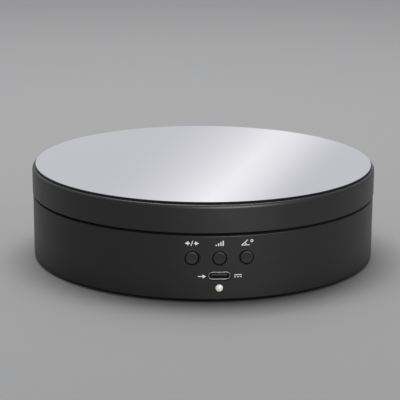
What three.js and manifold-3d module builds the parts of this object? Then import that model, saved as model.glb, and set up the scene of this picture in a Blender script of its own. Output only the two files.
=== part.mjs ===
// Motorised turntable display stand: a low round base with three push buttons, a USB-C inlet and a power
// lamp, and a mirror-faced platter that a geared stepper motor turns on a ring of steel balls.
//
// Millimetres, +Z up. The origin is on the floor under the centre of the stand, and the controls face -Y.
// Every height below is measured from the housing's lower edge. The last step lifts the stand onto its feet.

import * as THREE from "three";
import { mergeVertices } from "three/addons/utils/BufferGeometryUtils.js";
import Module from "manifold-3d";

const wasm = await Module();
wasm.setup();

// ---- Driving dimensions -------------------------------------------------------------------------------

const MIRROR_TOP = 40;
const PLATTER_RADIUS = 75;
const BASE_RADIUS = 74.8;
const WALL = 2.4;
const FOOT_DROP = 1.2; // how far the rubber feet stand below the housing
const SEAM_BOTTOM = 26.4; // the base's top edge
const SEAM_TOP = 27.45; // the platter skirt's lower edge
const RUNNING_GAP = 0.15; // between pieces that only just clear each other
const SHEET_GAP = 0.05; // between broad faces that lie on each other
const CUT = 1; // how far a cutter runs past the faces that it opens
const SINK = 0.5; // how far a joined shape runs into the one that carries it
const ROUND = 48; // sides of the large turned pieces
const MEDIUM = 24;
const SMALL = 16;
const PLAIN = 12;
const TINY = 8;

const BASE_INNER = BASE_RADIUS - WALL;
const DECK_TOP = 26;
const DECK_UNDER = 22.8;
const RACE_SEAT = 25; // the floor of the deck's recess for the lower race
const COVER_TOP = 2.4;
const COVER_UNDER = 0.6;
const COVER_POST = { radius: 3.6, foot: 5.2, pilot: 1.65, pilotTop: 15 };
const COVER_SCREW_PAD = { radius: 5.2, top: 5.1, headHole: 3.4, headSeat: 3.2, shankHole: 1.8 };
const LEAD_POST = { radius: 1, top: 6, x: 4.6, y: -30 }; // a pair that keeps the motor's lead in the middle
const MOTOR_BOSS = { radius: 3.6, top: 28.6, pilot: 1.6, pilotTop: 27.8 };
const BOARD_POST = { radius: 2.6, pilot: 1.05, pilotFront: -69.2 };
const BUTTON_PAD = { halfWidth: 15, foot: 12.9, top: 21.3 };

const MIRROR_RADIUS = 73.6;
const MIRROR_THICKNESS = 2;
const TRAY_RIM_TOP = MIRROR_TOP - 1; // the mirror stands this little above its rim
const TRAY_FLOOR = 37.75; // what the mirror is stuck to
const TRAY_UNDER = 35.3;
const TRAY_CORNER = { across: 1.25, rise: 1.6 }; // the rounded shoulder outside the rim

const BALL_RADIUS = 2.5;
const BALL_COUNT = 12;
const BALL_CIRCLE = 50;
const RACE_HALF_WIDTH = 4;
const RACE_THICKNESS = 1.8;
const RACE_PLAY = 0.2; // between a race and the walls of its seat
const GROOVE_DEPTH = 0.8;
const GROOVE_RADIUS = 2.9;
const BALL_CLEARANCE = 0.1;
const LOWER_RACE_TOP = RACE_SEAT + SHEET_GAP + RACE_THICKNESS;
const BALL_HEIGHT = LOWER_RACE_TOP - GROOVE_DEPTH + BALL_RADIUS + BALL_CLEARANCE;
const UPPER_RACE_UNDER = BALL_HEIGHT + BALL_RADIUS + BALL_CLEARANCE - GROOVE_DEPTH;
const UPPER_RACE_TOP = UPPER_RACE_UNDER + RACE_THICKNESS;

const MOTOR_OFFSET = 8; // from the output shaft back to the centre of the motor's can
const CAN_RADIUS = 14;
const CAN_BOTTOM = 3.9;
const CAN_SHEET = 0.6;
const MOTOR_PLATE_UNDER = 21.9;
const MOTOR_PLATE_TOP = 22.7;
const EAR_REACH = 17.5;
const EAR_WIDTH = 7;
const EAR_HOLE = 2.1;
const SHAFT_BOSS = { radius: 4.5, top: 24.2 };
const LEAD_WINDOW = { halfWidth: 4, foot: 5.5, top: 10.5 };
const MAGNET = { radius: 7, foot: 5.2, top: 12.4 };
const COIL = { inner: 7.6, outer: 13.1, foot: 4.7, top: 13 };
const TRAIN_PLATE_TOP = 13.7;
const JOURNAL = 1; // the radius of the thin ends of the rotor and of the output shaft
const JOURNAL_HOLE = 1.25;
const SHAFT_RADIUS = 3;
const SHAFT_TOP = 33.3;
const SHAFT_FLAT = 2.3; // from the shaft's axis to each of its two flats
const HUB_BOTTOM = 29.6;
const HUB_FLANGE_UNDER = 36.3;
const HUB_FLANGE_TOP = 37.5;
const HUB_FLANGE_RADIUS = 9.6;
const HUB_HEX = 6.2; // across half of its corners
const HEXAGON = 6;

const BUTTON_PITCH = 11;
const BUTTON_PLACES = { direction: -BUTTON_PITCH, speed: 0, angle: BUTTON_PITCH };
const BUTTON_HEIGHT = 17.1;
const BUTTON_RADIUS = 2.6;
const BUTTON_HOLE_RADIUS = 2.9;
const INLET_HEIGHT = 9.9;
const INLET = {
  width: 8.94,
  height: 3.16,
  sheet: 0.3,
  front: -74.5,
  coreWidth: 8,
  coreHeight: 2.2,
  coreFront: -69.5,
  tongueHalf: 3.35,
  tongueFront: -73.6,
  tongueThickness: 0.7,
};
const LAMP_HEIGHT = 4.65;
const LAMP_RADIUS = 1.53;
const LAMP_HOLE_RADIUS = 1.73;
const INLET_HOLE = { width: 9.6, height: 3.8 };
const PAD_FACE = -70.4; // the flat inside the wall that the button flanges rest against
const FLANGE_BACK = PAD_FACE + 1.1;
const FLANGE_RADIUS = 3.6;
const BOARD_FRONT = -64.9;
const BOARD_BACK = -63.3;
const CLEARANCE = 0.1; // between pieces that face each other end on
const BOARD = { halfWidth: 23, foot: 3.7, top: 21.9, screwHole: 1.2 };
const SWITCH_FACE = BOARD_FRONT - 3.5;
const PLUNGER_RADIUS = 1.65;
const BOARD_SCREW_X = 19.5;
const BOARD_SCREW_HEIGHT = 12.5;
const CHIP = { left: -17, right: -9, foot: 5, top: 10, thickness: 1.7 };
const PLUG = { halfWidth: 6.5, foot: 9, top: 15, thickness: 6.8 };

const COVER_SCREW_CIRCLE = 62;
const FOOT_CIRCLE = 58;
const FOOT_RADIUS = 6;
const FOOT_POCKET = 0.8;
const QUARTERS = [270, 0, 90, 180]; // from the front, round to the left
const DIAGONALS = [225, 315, 45, 135];

// ---- Finishes -----------------------------------------------------------------------------------------

const finish = (color, roughness, metalness) =>
  new THREE.MeshStandardMaterial({ color, roughness, metalness });
const blackShell = finish(0x242424, 0.55, 0);
const blackButton = finish(0x1f1f1f, 0.5, 0);
const blackPart = finish(0x151515, 0.5, 0);
const mirrorSilver = finish(0xd8dade, 0.06, 1);
const rubber = finish(0x101010, 0.9, 0);
const steel = finish(0xb9bcc0, 0.3, 1);
const zincPlate = finish(0xa8abad, 0.4, 1);
const brass = finish(0xb99a55, 0.35, 1);
const whiteAcetal = finish(0xe8e6dd, 0.45, 0);
const copper = finish(0xa65f38, 0.4, 1);
const magnet = finish(0x3a3836, 0.6, 0.2);
const greenBoard = finish(0x1d5a36, 0.45, 0);
const ribbonGrey = finish(0x9a9a9c, 0.5, 0);
const lampLens = finish(0xe4e8cf, 0.3, 0);
const tapeWhite = finish(0xd9d6cc, 0.8, 0);

// ---- Solids -------------------------------------------------------------------------------------------

const radians = THREE.MathUtils.degToRad;

/** A closed geometry as a solid that can be joined and cut. */
function solid(geometry) {
  const bare = new THREE.BufferGeometry().setAttribute("position", geometry.getAttribute("position"));
  bare.setIndex(geometry.index);
  const merged = mergeVertices(bare, 1e-4);
  const corners = merged.index.array;
  const faces = [];
  for (let i = 0; i < corners.length; i += 3) {
    const [a, b, c] = corners.subarray(i, i + 3);
    if (a !== b && b !== c && c !== a) faces.push(a, b, c);
  }
  const vertProperties = merged.attributes.position.array;
  const triVerts = new Uint32Array(faces);
  return new wasm.Manifold(new wasm.Mesh({ numProp: 3, vertProperties, triVerts }));
}

/** A solid as a geometry that a mesh can hold. */
function geometryOf(body) {
  const { numProp, numVert, vertProperties, triVerts } = body.getMesh();
  const places = new Float32Array(numVert * 3);
  for (let i = 0; i < numVert; i++) {
    places.set(vertProperties.subarray(i * numProp, i * numProp + 3), i * 3);
  }
  const geometry = new THREE.BufferGeometry();
  geometry.setAttribute("position", new THREE.BufferAttribute(places, 3));
  geometry.setIndex(new THREE.BufferAttribute(triVerts, 1));
  geometry.computeVertexNormals();
  return geometry;
}

const points = (pairs) => pairs.map(([x, y]) => new THREE.Vector2(x, y));

/** Turned about +Z from a profile of [radius, height], listed with its outer side going up. */
const turned = (profile, sides = ROUND) =>
  solid(new THREE.LatheGeometry(points(profile), sides).rotateX(Math.PI / 2));

/** Turned about a line along Y, through (x, z), from a profile of [radius, y]. */
const turnedAlongY = (profile, x, z, sides = SMALL) =>
  solid(new THREE.LatheGeometry(points(profile), sides).translate(x, 0, z));

/** A ring's closed profile. */
const ringProfile = (inner, outer, from, to) => [
  [inner, from],
  [outer, from],
  [outer, to],
  [inner, to],
  [inner, from],
];

/** A rod's profile, from its axis out and back. */
const rodProfile = (radius, from, to) => [
  [0, from],
  [radius, from],
  [radius, to],
  [0, to],
];

const ring = (inner, outer, from, to, sides) => turned(ringProfile(inner, outer, from, to), sides);

/** An upright rod, with its axis at (x, y). */
function rod(radius, from, to, x = 0, y = 0, sides = SMALL) {
  const lathe = new THREE.LatheGeometry(points(rodProfile(radius, from, to)), sides);
  return solid(lathe.rotateX(Math.PI / 2).translate(x, y, 0));
}

const rodAlongY = (radius, from, to, x, z, sides = SMALL) =>
  turnedAlongY(rodProfile(radius, from, to), x, z, sides);

/** A box between two corners. */
function block(x0, x1, y0, y1, z0, z1) {
  const box = new THREE.BoxGeometry(x1 - x0, y1 - y0, z1 - z0);
  return solid(box.translate((x0 + x1) / 2, (y0 + y1) / 2, (z0 + z1) / 2));
}

const CURVE_STEPS = 6;

/** A flat outline raised from one height to another. */
function raised(shape, from, to) {
  const options = { depth: to - from, bevelEnabled: false, curveSegments: CURVE_STEPS };
  return solid(new THREE.ExtrudeGeometry(shape, options).translate(0, 0, from));
}

/** A front-view outline, x across and z up, carried along Y from the front to the back. */
function carriedBack(shape, front, back, z) {
  const options = { depth: back - front, bevelEnabled: false, curveSegments: CURVE_STEPS };
  return solid(new THREE.ExtrudeGeometry(shape, options).rotateX(Math.PI / 2).translate(0, back, z));
}

/** A bar with round ends, such as a USB-C inlet seen from the front. */
function stadium(width, height, Kind = THREE.Shape) {
  const radius = height / 2;
  const reach = width / 2 - radius;
  const outline = new Kind();
  outline.moveTo(-reach, -radius);
  outline.lineTo(reach, -radius);
  outline.absarc(reach, 0, radius, -Math.PI / 2, Math.PI / 2, false);
  outline.lineTo(-reach, radius);
  outline.absarc(-reach, 0, radius, Math.PI / 2, (3 * Math.PI) / 2, false);
  return outline;
}

/** A round rod's outline with two parallel flats. */
function doubleD(radius, flat) {
  const edge = Math.acos(flat / radius);
  const outline = new THREE.Shape();
  outline.absarc(0, 0, radius, edge, Math.PI - edge, false);
  outline.absarc(0, 0, radius, Math.PI + edge, 2 * Math.PI - edge, false);
  outline.closePath();
  return outline;
}

const polar = (radius, degrees) => [
  radius * Math.cos(radians(degrees)),
  radius * Math.sin(radians(degrees)),
];

/** A named piece of the stand. */
function piece(name, body, material) {
  const mesh = new THREE.Mesh(geometryOf(body), material);
  mesh.name = name;
  return mesh;
}

const group = (...members) => new THREE.Group().add(...members);

/** A cross-head screw that stands head down on its own origin, with its shank going up. */
function screw(name, { headRadius, headHeight, shankRadius, length }) {
  const chamfer = 0.4;
  const pointLength = 0.8;
  const end = headHeight + length;
  const profile = [
    [0, 0],
    [headRadius - chamfer, 0],
    [headRadius, chamfer],
    [headRadius, headHeight],
    [shankRadius, headHeight],
    [shankRadius, end - pointLength],
    [0, end],
  ];
  const reach = headRadius * 0.6;
  const half = headRadius * 0.14;
  const depth = headHeight * 0.5;
  const slot = block(-reach, reach, -half, half, -CUT, depth);
  const crossSlot = block(-half, half, -reach, reach, -CUT, depth);
  return piece(name, turned(profile, TINY).subtract(slot.add(crossSlot)), steel);
}

// ---- Gears --------------------------------------------------------------------------------------------

const PRESSURE = radians(20);
const PROFILE_SHIFT = 0.4; // given to each pinion and taken from its wheel, against undercut
const ADDENDUM = 0.95;
const DEDENDUM = 1.25;
const BACKLASH = 0.07;

const involute = (angle) => Math.tan(angle) - angle;

/** A spur gear's outline, with one tooth's middle at the given angle. */
function gearOutline({ teeth, module, shift }, toothAt = 0) {
  const pitch = (module * teeth) / 2;
  const base = pitch * Math.cos(PRESSURE);
  const tip = pitch + module * (ADDENDUM + shift);
  const root = pitch - module * (DEDENDUM - shift);
  const halfAtPitch =
    (Math.PI / 2 + 2 * shift * Math.tan(PRESSURE)) / teeth - BACKLASH / (2 * pitch) + involute(PRESSURE);
  const halfAt = (radius) => halfAtPitch - (radius > base ? involute(Math.acos(base / radius)) : 0);
  const corner = (radius, angle) =>
    new THREE.Vector2(radius * Math.cos(angle), radius * Math.sin(angle));
  const corners = [];
  for (let tooth = 0; tooth < teeth; tooth++) {
    const middle = toothAt + (tooth * 2 * Math.PI) / teeth;
    for (const radius of [root, tip]) corners.push(corner(radius, middle - halfAt(radius)));
    for (const radius of [tip, root]) corners.push(corner(radius, middle + halfAt(radius)));
  }
  return new THREE.Shape(corners);
}

const pinion = (teeth, module) => ({ teeth, module, shift: PROFILE_SHIFT });
const wheel = (teeth, module) => ({ teeth, module, shift: -PROFILE_SHIFT });
const apart = (one, other) => (one.module * (one.teeth + other.teeth)) / 2;

// The train steps down 64 to 1 from the rotor to the output shaft.
const rotorPinion = pinion(9, 0.3);
const firstWheel = wheel(32, 0.3);
const firstPinion = pinion(11, 0.4);
const secondWheel = wheel(22, 0.4);
const secondPinion = pinion(9, 0.35);
const thirdWheel = wheel(26, 0.35);
const thirdPinion = pinion(10, 0.31);
const outputWheel = wheel(31, 0.31);

/** Where two circles cross, on the right of the line from the first centre to the second. */
function crossing(one, reachOne, other, reachOther) {
  const along = other.clone().sub(one);
  const span = along.length();
  const foot = (span * span + reachOne * reachOne - reachOther * reachOther) / (2 * span);
  const rise = Math.sqrt(reachOne * reachOne - foot * foot);
  const unit = along.divideScalar(span);
  return new THREE.Vector2(unit.x * foot - unit.y * rise, unit.y * foot + unit.x * rise).add(one);
}

const outputAxis = new THREE.Vector2(0, 0);
const rotorAxis = new THREE.Vector2(0, MOTOR_OFFSET);
const FIRST_GEAR_AT = 76.5; // degrees round the rotor from +X
const THIRD_GEAR_AT = 28.2; // degrees round the output shaft from +X
const firstAxis = new THREE.Vector2(...polar(apart(rotorPinion, firstWheel), FIRST_GEAR_AT)).add(rotorAxis);
const thirdAxis = new THREE.Vector2(...polar(apart(thirdPinion, outputWheel), THIRD_GEAR_AT)).add(outputAxis);
const secondAxis = crossing(
  firstAxis,
  apart(firstPinion, secondWheel),
  thirdAxis,
  apart(secondPinion, thirdWheel),
);

const GEAR_FACE = 1.6;
const GEAR_PITCH = 1.9; // from one layer of the train to the next
const FIRST_LAYER = 14.2;
const layer = (n) => FIRST_LAYER + n * GEAR_PITCH;
const PIN_RADIUS = 0.5;
const PIN_BORE = 0.65;

const facing = (from, to) => Math.atan2(to.y - from.y, to.x - from.x);

/** The angle of the tooth that lies half a tooth from the line to the pinion, so that the two mesh. */
const meshedAt = (gear, from, to) => facing(from, to) + Math.PI / gear.teeth;

/** A wheel below its own pinion, on a fixed pin. */
function compoundGear(name, big, small, axis, previous, next, floor) {
  const wheelBody = raised(gearOutline(big, meshedAt(big, axis, previous)), floor, floor + GEAR_FACE);
  const pinionTop = floor + GEAR_PITCH + GEAR_FACE;
  const pinionBody = raised(gearOutline(small, facing(axis, next)), floor + GEAR_FACE / 2, pinionTop);
  const bore = rod(PIN_BORE, floor - CUT, pinionTop + CUT, 0, 0, TINY);
  const mesh = piece(name, wheelBody.add(pinionBody).subtract(bore), whiteAcetal);
  mesh.position.set(axis.x, axis.y, 0);
  return mesh;
}

// ---- Base ---------------------------------------------------------------------------------------------

/** The wall, deck and labyrinth lip in one moulding, with its bosses, button pad and openings. */
function baseShell() {
  const lipOuter = 71;
  const lipInner = 69.2;
  const lipTop = 30.5;
  const edge = 0.4;
  const seatInner = BALL_CIRCLE - RACE_HALF_WIDTH - RACE_PLAY;
  const seatOuter = BALL_CIRCLE + RACE_HALF_WIDTH + RACE_PLAY;
  const shaftHole = 4.8;
  let body = turned(
    [
      [BASE_RADIUS - edge, 0],
      [BASE_RADIUS, edge],
      [BASE_RADIUS, SEAM_BOTTOM - edge],
      [BASE_RADIUS - edge, SEAM_BOTTOM],
      [lipOuter, SEAM_BOTTOM],
      [lipOuter, lipTop],
      [lipInner, lipTop],
      [lipInner, DECK_TOP],
      [seatOuter, DECK_TOP],
      [seatOuter, RACE_SEAT],
      [seatInner, RACE_SEAT],
      [seatInner, DECK_TOP],
      [shaftHole, DECK_TOP],
      [shaftHole, DECK_UNDER],
      [BASE_INNER, DECK_UNDER],
      [BASE_INNER, COVER_TOP + SHEET_GAP],
      [BASE_INNER + 1, COVER_TOP + SHEET_GAP],
      [BASE_INNER + 1, 0],
      [BASE_RADIUS - edge, 0],
    ],
    ROUND,
  );

  for (const degrees of DIAGONALS) {
    const [x, y] = polar(COVER_SCREW_CIRCLE, degrees);
    body = body.add(rod(COVER_POST.radius, COVER_POST.foot, DECK_UNDER + SINK, x, y));
    body = body.subtract(rod(COVER_POST.pilot, COVER_POST.foot - CUT, COVER_POST.pilotTop, x, y, TINY));
  }
  for (const x of [-EAR_REACH, EAR_REACH]) {
    body = body.add(rod(MOTOR_BOSS.radius, DECK_TOP - SINK, MOTOR_BOSS.top, x, MOTOR_OFFSET));
    body = body.subtract(rod(MOTOR_BOSS.pilot, DECK_UNDER - CUT, MOTOR_BOSS.pilotTop, x, MOTOR_OFFSET, TINY));
  }
  return piece("base_shell", controlOpenings(body.add(controlSupports())), blackShell);
}

/** The pad that the button flanges rest on and the control board's posts, grown from inside the wall. */
function controlSupports() {
  const { halfWidth, foot, top } = BUTTON_PAD;
  let grown = block(-halfWidth, halfWidth, -BASE_INNER - CUT, PAD_FACE, foot, top);
  for (const x of [-BOARD_SCREW_X, BOARD_SCREW_X]) {
    const back = BOARD_FRONT - CLEARANCE;
    grown = grown.add(rodAlongY(BOARD_POST.radius, -BASE_INNER, back, x, BOARD_SCREW_HEIGHT, PLAIN));
  }
  return grown.intersect(rod(BASE_INNER + SINK, 0, DECK_TOP, 0, 0, ROUND));
}

/** The shell with its button holes, inlet, lamp hole and the pilot holes in the board's posts. */
function controlOpenings(shell) {
  const { pilot, pilotFront } = BOARD_POST;
  const outside = -BASE_RADIUS - CUT;
  let body = shell;
  for (const x of [-BOARD_SCREW_X, BOARD_SCREW_X]) {
    body = body.subtract(rodAlongY(pilot, pilotFront, BOARD_FRONT + CUT, x, BOARD_SCREW_HEIGHT, TINY));
  }
  for (const x of Object.values(BUTTON_PLACES)) {
    body = body.subtract(rodAlongY(BUTTON_HOLE_RADIUS, outside, PAD_FACE + CUT, x, BUTTON_HEIGHT));
  }
  const inlet = carriedBack(stadium(INLET_HOLE.width, INLET_HOLE.height), outside, PAD_FACE, INLET_HEIGHT);
  const lamp = rodAlongY(LAMP_HOLE_RADIUS, outside, PAD_FACE, 0, LAMP_HEIGHT);
  return body.subtract(inlet).subtract(lamp);
}

/** The floor of the stand, which fits in the shell's lower rebate. The lamp's notch is cut in its rim. */
function bottomCover() {
  const rimOuter = BASE_INNER - 0.3;
  const rimInner = rimOuter - 1.4;
  const rimTop = COVER_TOP + 2;
  const edge = BASE_INNER + 1 - RUNNING_GAP;
  let body = turned(
    [
      [0, COVER_UNDER],
      [edge, COVER_UNDER],
      [edge, COVER_TOP],
      [rimOuter, COVER_TOP],
      [rimOuter, rimTop],
      [rimInner, rimTop],
      [rimInner, COVER_TOP],
      [0, COVER_TOP],
    ],
    ROUND,
  );
  const notchHalf = 4;
  const notchDepth = 3;
  const { radius, top, headHole, headSeat, shankHole } = COVER_SCREW_PAD;
  body = body.subtract(
    block(-notchHalf, notchHalf, -BASE_INNER - CUT, notchDepth - rimInner, COVER_TOP, rimTop + CUT),
  );
  for (const degrees of DIAGONALS) {
    const [x, y] = polar(COVER_SCREW_CIRCLE, degrees);
    body = body.add(rod(radius, COVER_TOP - SINK, top, x, y));
    body = body.subtract(rod(headHole, 0, headSeat, x, y));
    body = body.subtract(rod(shankHole, 0, top + CUT, x, y, TINY));
  }
  for (const degrees of QUARTERS) {
    const [x, y] = polar(FOOT_CIRCLE, degrees);
    body = body.subtract(rod(FOOT_RADIUS + 2 * RUNNING_GAP, 0, COVER_UNDER + FOOT_POCKET, x, y));
  }
  for (const x of [-LEAD_POST.x, LEAD_POST.x]) {
    body = body.add(rod(LEAD_POST.radius, COVER_TOP - SINK, LEAD_POST.top, x, LEAD_POST.y, TINY));
  }
  return piece("bottom_cover", body, blackShell);
}

/** The rubber feet, stuck in shallow pockets under the cover. */
function feet() {
  const top = COVER_UNDER + FOOT_POCKET - SHEET_GAP;
  const edge = 0.6;
  const profile = [
    [0, -FOOT_DROP],
    [FOOT_RADIUS - edge, -FOOT_DROP],
    [FOOT_RADIUS, edge - FOOT_DROP],
    [FOOT_RADIUS, top],
    [0, top],
  ];
  return QUARTERS.map((degrees, i) => {
    const foot = piece(`foot_${i + 1}`, turned(profile, SMALL), rubber);
    const [x, y] = polar(FOOT_CIRCLE, degrees);
    foot.position.set(x, y, 0);
    return foot;
  });
}

/** The four screws that hold the cover to the shell's posts. */
function coverScrews() {
  const sizes = { headRadius: 3, headHeight: 1.7, shankRadius: 1.45, length: 10 };
  const headFoot = 1.45;
  return DIAGONALS.map((degrees, i) => {
    const [x, y] = polar(COVER_SCREW_CIRCLE, degrees);
    const placed = screw(`cover_screw_${i + 1}`, sizes);
    placed.position.set(x, y, headFoot);
    return placed;
  });
}

// ---- Ball ring ----------------------------------------------------------------------------------------

/** A race's profile, with a groove for the balls in the face on the given side of zero height. */
function raceProfile(grooveUp) {
  const centre = GROOVE_RADIUS - GROOVE_DEPTH;
  const reach = Math.acos(centre / GROOVE_RADIUS);
  const steps = 4;
  const groove = [];
  for (let i = 0; i <= steps; i++) {
    const angle = reach - (2 * reach * i) / steps;
    groove.push([BALL_CIRCLE + GROOVE_RADIUS * Math.sin(angle), centre - GROOVE_RADIUS * Math.cos(angle)]);
  }
  const inner = BALL_CIRCLE - RACE_HALF_WIDTH;
  const outer = BALL_CIRCLE + RACE_HALF_WIDTH;
  const up = [
    [inner, -RACE_THICKNESS],
    [outer, -RACE_THICKNESS],
    [outer, 0],
    ...groove,
    [inner, 0],
    [inner, -RACE_THICKNESS],
  ];
  return grooveUp ? up : up.map(([radius, height]) => [radius, -height]).toReversed();
}

function race(name, grooveUp, height) {
  const mesh = piece(name, turned(raceProfile(grooveUp)), steel);
  mesh.position.z = height;
  return mesh;
}

/** The flat plastic cage that keeps the balls apart. */
function ballCage() {
  const halfWidth = 5;
  const halfThickness = 0.9;
  const pocket = BALL_RADIUS + 2 * RUNNING_GAP;
  let body = ring(
    BALL_CIRCLE - halfWidth,
    BALL_CIRCLE + halfWidth,
    BALL_HEIGHT - halfThickness,
    BALL_HEIGHT + halfThickness,
  );
  for (let i = 0; i < BALL_COUNT; i++) {
    const [x, y] = polar(BALL_CIRCLE, (i * 360) / BALL_COUNT);
    body = body.subtract(rod(pocket, BALL_HEIGHT - CUT, BALL_HEIGHT + CUT, x, y, TINY));
  }
  return piece("ball_cage", body, whiteAcetal);
}

function balls() {
  return Array.from({ length: BALL_COUNT }, (_, i) => {
    const ball = piece(`ball_${i + 1}`, solid(new THREE.SphereGeometry(BALL_RADIUS, 8, 6)), steel);
    const [x, y] = polar(BALL_CIRCLE, (i * 360) / BALL_COUNT);
    ball.rotation.x = Math.PI / 2;
    ball.position.set(x, y, BALL_HEIGHT);
    return ball;
  });
}

// ---- Platter ------------------------------------------------------------------------------------------

/** The skirted tray that turns, with its ribs, race seat and hexagonal hub socket. */
function platterTray() {
  const skirtInner = PLATTER_RADIUS - 2.6;
  const rimInner = MIRROR_RADIUS + RUNNING_GAP;
  const edge = 0.4;
  const shoulderFoot = TRAY_RIM_TOP - TRAY_CORNER.rise;
  const corner = [30, 60].map((degrees) => {
    const [out, up] = polar(1, degrees);
    return [rimInner + TRAY_CORNER.across * out, shoulderFoot + TRAY_CORNER.rise * up];
  });
  const seatFace = UPPER_RACE_TOP + SHEET_GAP;
  const lipFoot = UPPER_RACE_UNDER + 0.9;
  const seatInner = BALL_CIRCLE - RACE_HALF_WIDTH - RACE_PLAY;
  const seatOuter = BALL_CIRCLE + RACE_HALF_WIDTH + RACE_PLAY;
  const lipWall = 1;
  const bossFoot = 30;
  const bossRadius = 9;
  const flangeRecess = HUB_FLANGE_RADIUS + 2 * RUNNING_GAP;
  const hubBore = HUB_HEX + RUNNING_GAP;
  const core = hubBore - 2; // inside the socket, which is cut last
  let body = turned(
    [
      [core, bossFoot],
      [bossRadius, bossFoot],
      [bossRadius, TRAY_UNDER],
      [seatInner - lipWall, TRAY_UNDER],
      [seatInner - lipWall, lipFoot],
      [seatInner, lipFoot],
      [seatInner, seatFace],
      [seatOuter, seatFace],
      [seatOuter, TRAY_UNDER],
      [skirtInner, TRAY_UNDER],
      [skirtInner, SEAM_TOP],
      [PLATTER_RADIUS - edge, SEAM_TOP],
      [PLATTER_RADIUS, SEAM_TOP + edge],
      [PLATTER_RADIUS, shoulderFoot],
      ...corner,
      [rimInner, TRAY_RIM_TOP],
      [rimInner, TRAY_FLOOR],
      [flangeRecess, TRAY_FLOOR],
      [flangeRecess, HUB_FLANGE_UNDER - SHEET_GAP],
      [core, HUB_FLANGE_UNDER - SHEET_GAP],
      [core, bossFoot],
    ],
    ROUND,
  );
  const ribCount = 8;
  const ribWidth = 1.6;
  const ribFoot = UPPER_RACE_TOP + 0.1;
  const ribTop = TRAY_UNDER + SINK;
  const ribStart = bossRadius - SINK;
  const ribEnd = skirtInner + SINK;
  for (let i = 0; i < ribCount; i++) {
    const rib = new THREE.BoxGeometry(ribEnd - ribStart, ribWidth, ribTop - ribFoot);
    rib.translate((ribStart + ribEnd) / 2, 0, (ribTop + ribFoot) / 2);
    body = body.add(solid(rib.rotateZ(((i + 0.5) * 2 * Math.PI) / ribCount)));
  }
  const socket = rod(hubBore, bossFoot - CUT, TRAY_FLOOR + CUT, 0, 0, HEXAGON);
  return piece("platter_tray", body.subtract(socket), blackShell);
}

function mirrorDisc() {
  const edge = 0.2;
  const under = MIRROR_TOP - MIRROR_THICKNESS;
  const profile = [
    [0, under],
    [MIRROR_RADIUS, under],
    [MIRROR_RADIUS, MIRROR_TOP - edge],
    [MIRROR_RADIUS - edge, MIRROR_TOP],
    [0, MIRROR_TOP],
  ];
  return piece("mirror_disc", turned(profile, ROUND), mirrorSilver);
}

/** The double-sided tape between the tray's floor and the mirror. */
function mirrorTape() {
  const inner = 14;
  const outer = 71;
  const top = MIRROR_TOP - MIRROR_THICKNESS - SHEET_GAP;
  return piece("mirror_tape", ring(inner, outer, TRAY_FLOOR + SHEET_GAP, top), tapeWhite);
}

/** The flanged hub that carries the shaft's drive into the tray. */
function driveHub() {
  const web = SHAFT_TOP + 2 * RUNNING_GAP;
  const webTop = 35.2;
  const headHole = 2.9;
  const shankHole = 1.35;
  const shaftSocket = doubleD(SHAFT_RADIUS + RUNNING_GAP, SHAFT_FLAT + RUNNING_GAP);
  const barrel = rod(HUB_HEX, HUB_BOTTOM, HUB_FLANGE_UNDER + SINK, 0, 0, HEXAGON);
  const flange = rod(HUB_FLANGE_RADIUS, HUB_FLANGE_UNDER, HUB_FLANGE_TOP, 0, 0, MEDIUM);
  const drive = raised(shaftSocket, HUB_BOTTOM - CUT, web);
  const through = rod(shankHole, web - CUT, webTop + CUT, 0, 0, TINY);
  const headRecess = rod(headHole, webTop, HUB_FLANGE_TOP + CUT);
  const body = barrel.add(flange).subtract(drive).subtract(through).subtract(headRecess);
  return piece("drive_hub", body, brass);
}

/** The screw that holds the platter down on the motor's shaft, under the mirror. */
function shaftScrew() {
  const placed = screw("shaft_screw", { headRadius: 2.5, headHeight: 1.9, shankRadius: 1.05, length: 6.6 });
  placed.rotation.x = Math.PI;
  placed.position.z = HUB_FLANGE_TOP - 2 * RUNNING_GAP;
  return placed;
}

// ---- Motor --------------------------------------------------------------------------------------------

function motorCan() {
  const inner = CAN_RADIUS - CAN_SHEET;
  const body = turned(
    [
      [0, CAN_BOTTOM],
      [CAN_RADIUS, CAN_BOTTOM],
      [CAN_RADIUS, MOTOR_PLATE_UNDER - SHEET_GAP],
      [inner, MOTOR_PLATE_UNDER - SHEET_GAP],
      [inner, CAN_BOTTOM + CAN_SHEET],
      [0, CAN_BOTTOM + CAN_SHEET],
    ],
    MEDIUM,
  );
  const { halfWidth, foot, top } = LEAD_WINDOW;
  const window = block(-halfWidth, halfWidth, -CAN_RADIUS - CUT, -CAN_RADIUS / 2, foot, top);
  const mesh = piece("motor_can", body.subtract(window), zincPlate);
  mesh.position.y = MOTOR_OFFSET;
  return mesh;
}

/** The plate that closes the gear train, with its two ears and the boss that carries the output shaft. */
function motorPlate() {
  const earOutline = stadium(2 * EAR_REACH + EAR_WIDTH, EAR_WIDTH);
  const from = MOTOR_PLATE_UNDER - CUT;
  let body = rod(CAN_RADIUS, MOTOR_PLATE_UNDER, MOTOR_PLATE_TOP, 0, 0, MEDIUM);
  body = body.add(raised(earOutline, MOTOR_PLATE_UNDER, MOTOR_PLATE_TOP));
  body = body.add(rod(SHAFT_BOSS.radius, MOTOR_PLATE_UNDER, SHAFT_BOSS.top, 0, -MOTOR_OFFSET, MEDIUM));
  const bearing = SHAFT_RADIUS + RUNNING_GAP;
  body = body.subtract(rod(bearing, from, SHAFT_BOSS.top + CUT, 0, -MOTOR_OFFSET, MEDIUM));
  for (const x of [-EAR_REACH, EAR_REACH]) {
    body = body.subtract(rod(EAR_HOLE, from, MOTOR_PLATE_TOP + CUT, x, 0, PLAIN));
  }
  const mesh = piece("motor_plate", body, zincPlate);
  mesh.position.y = MOTOR_OFFSET;
  return mesh;
}

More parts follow.
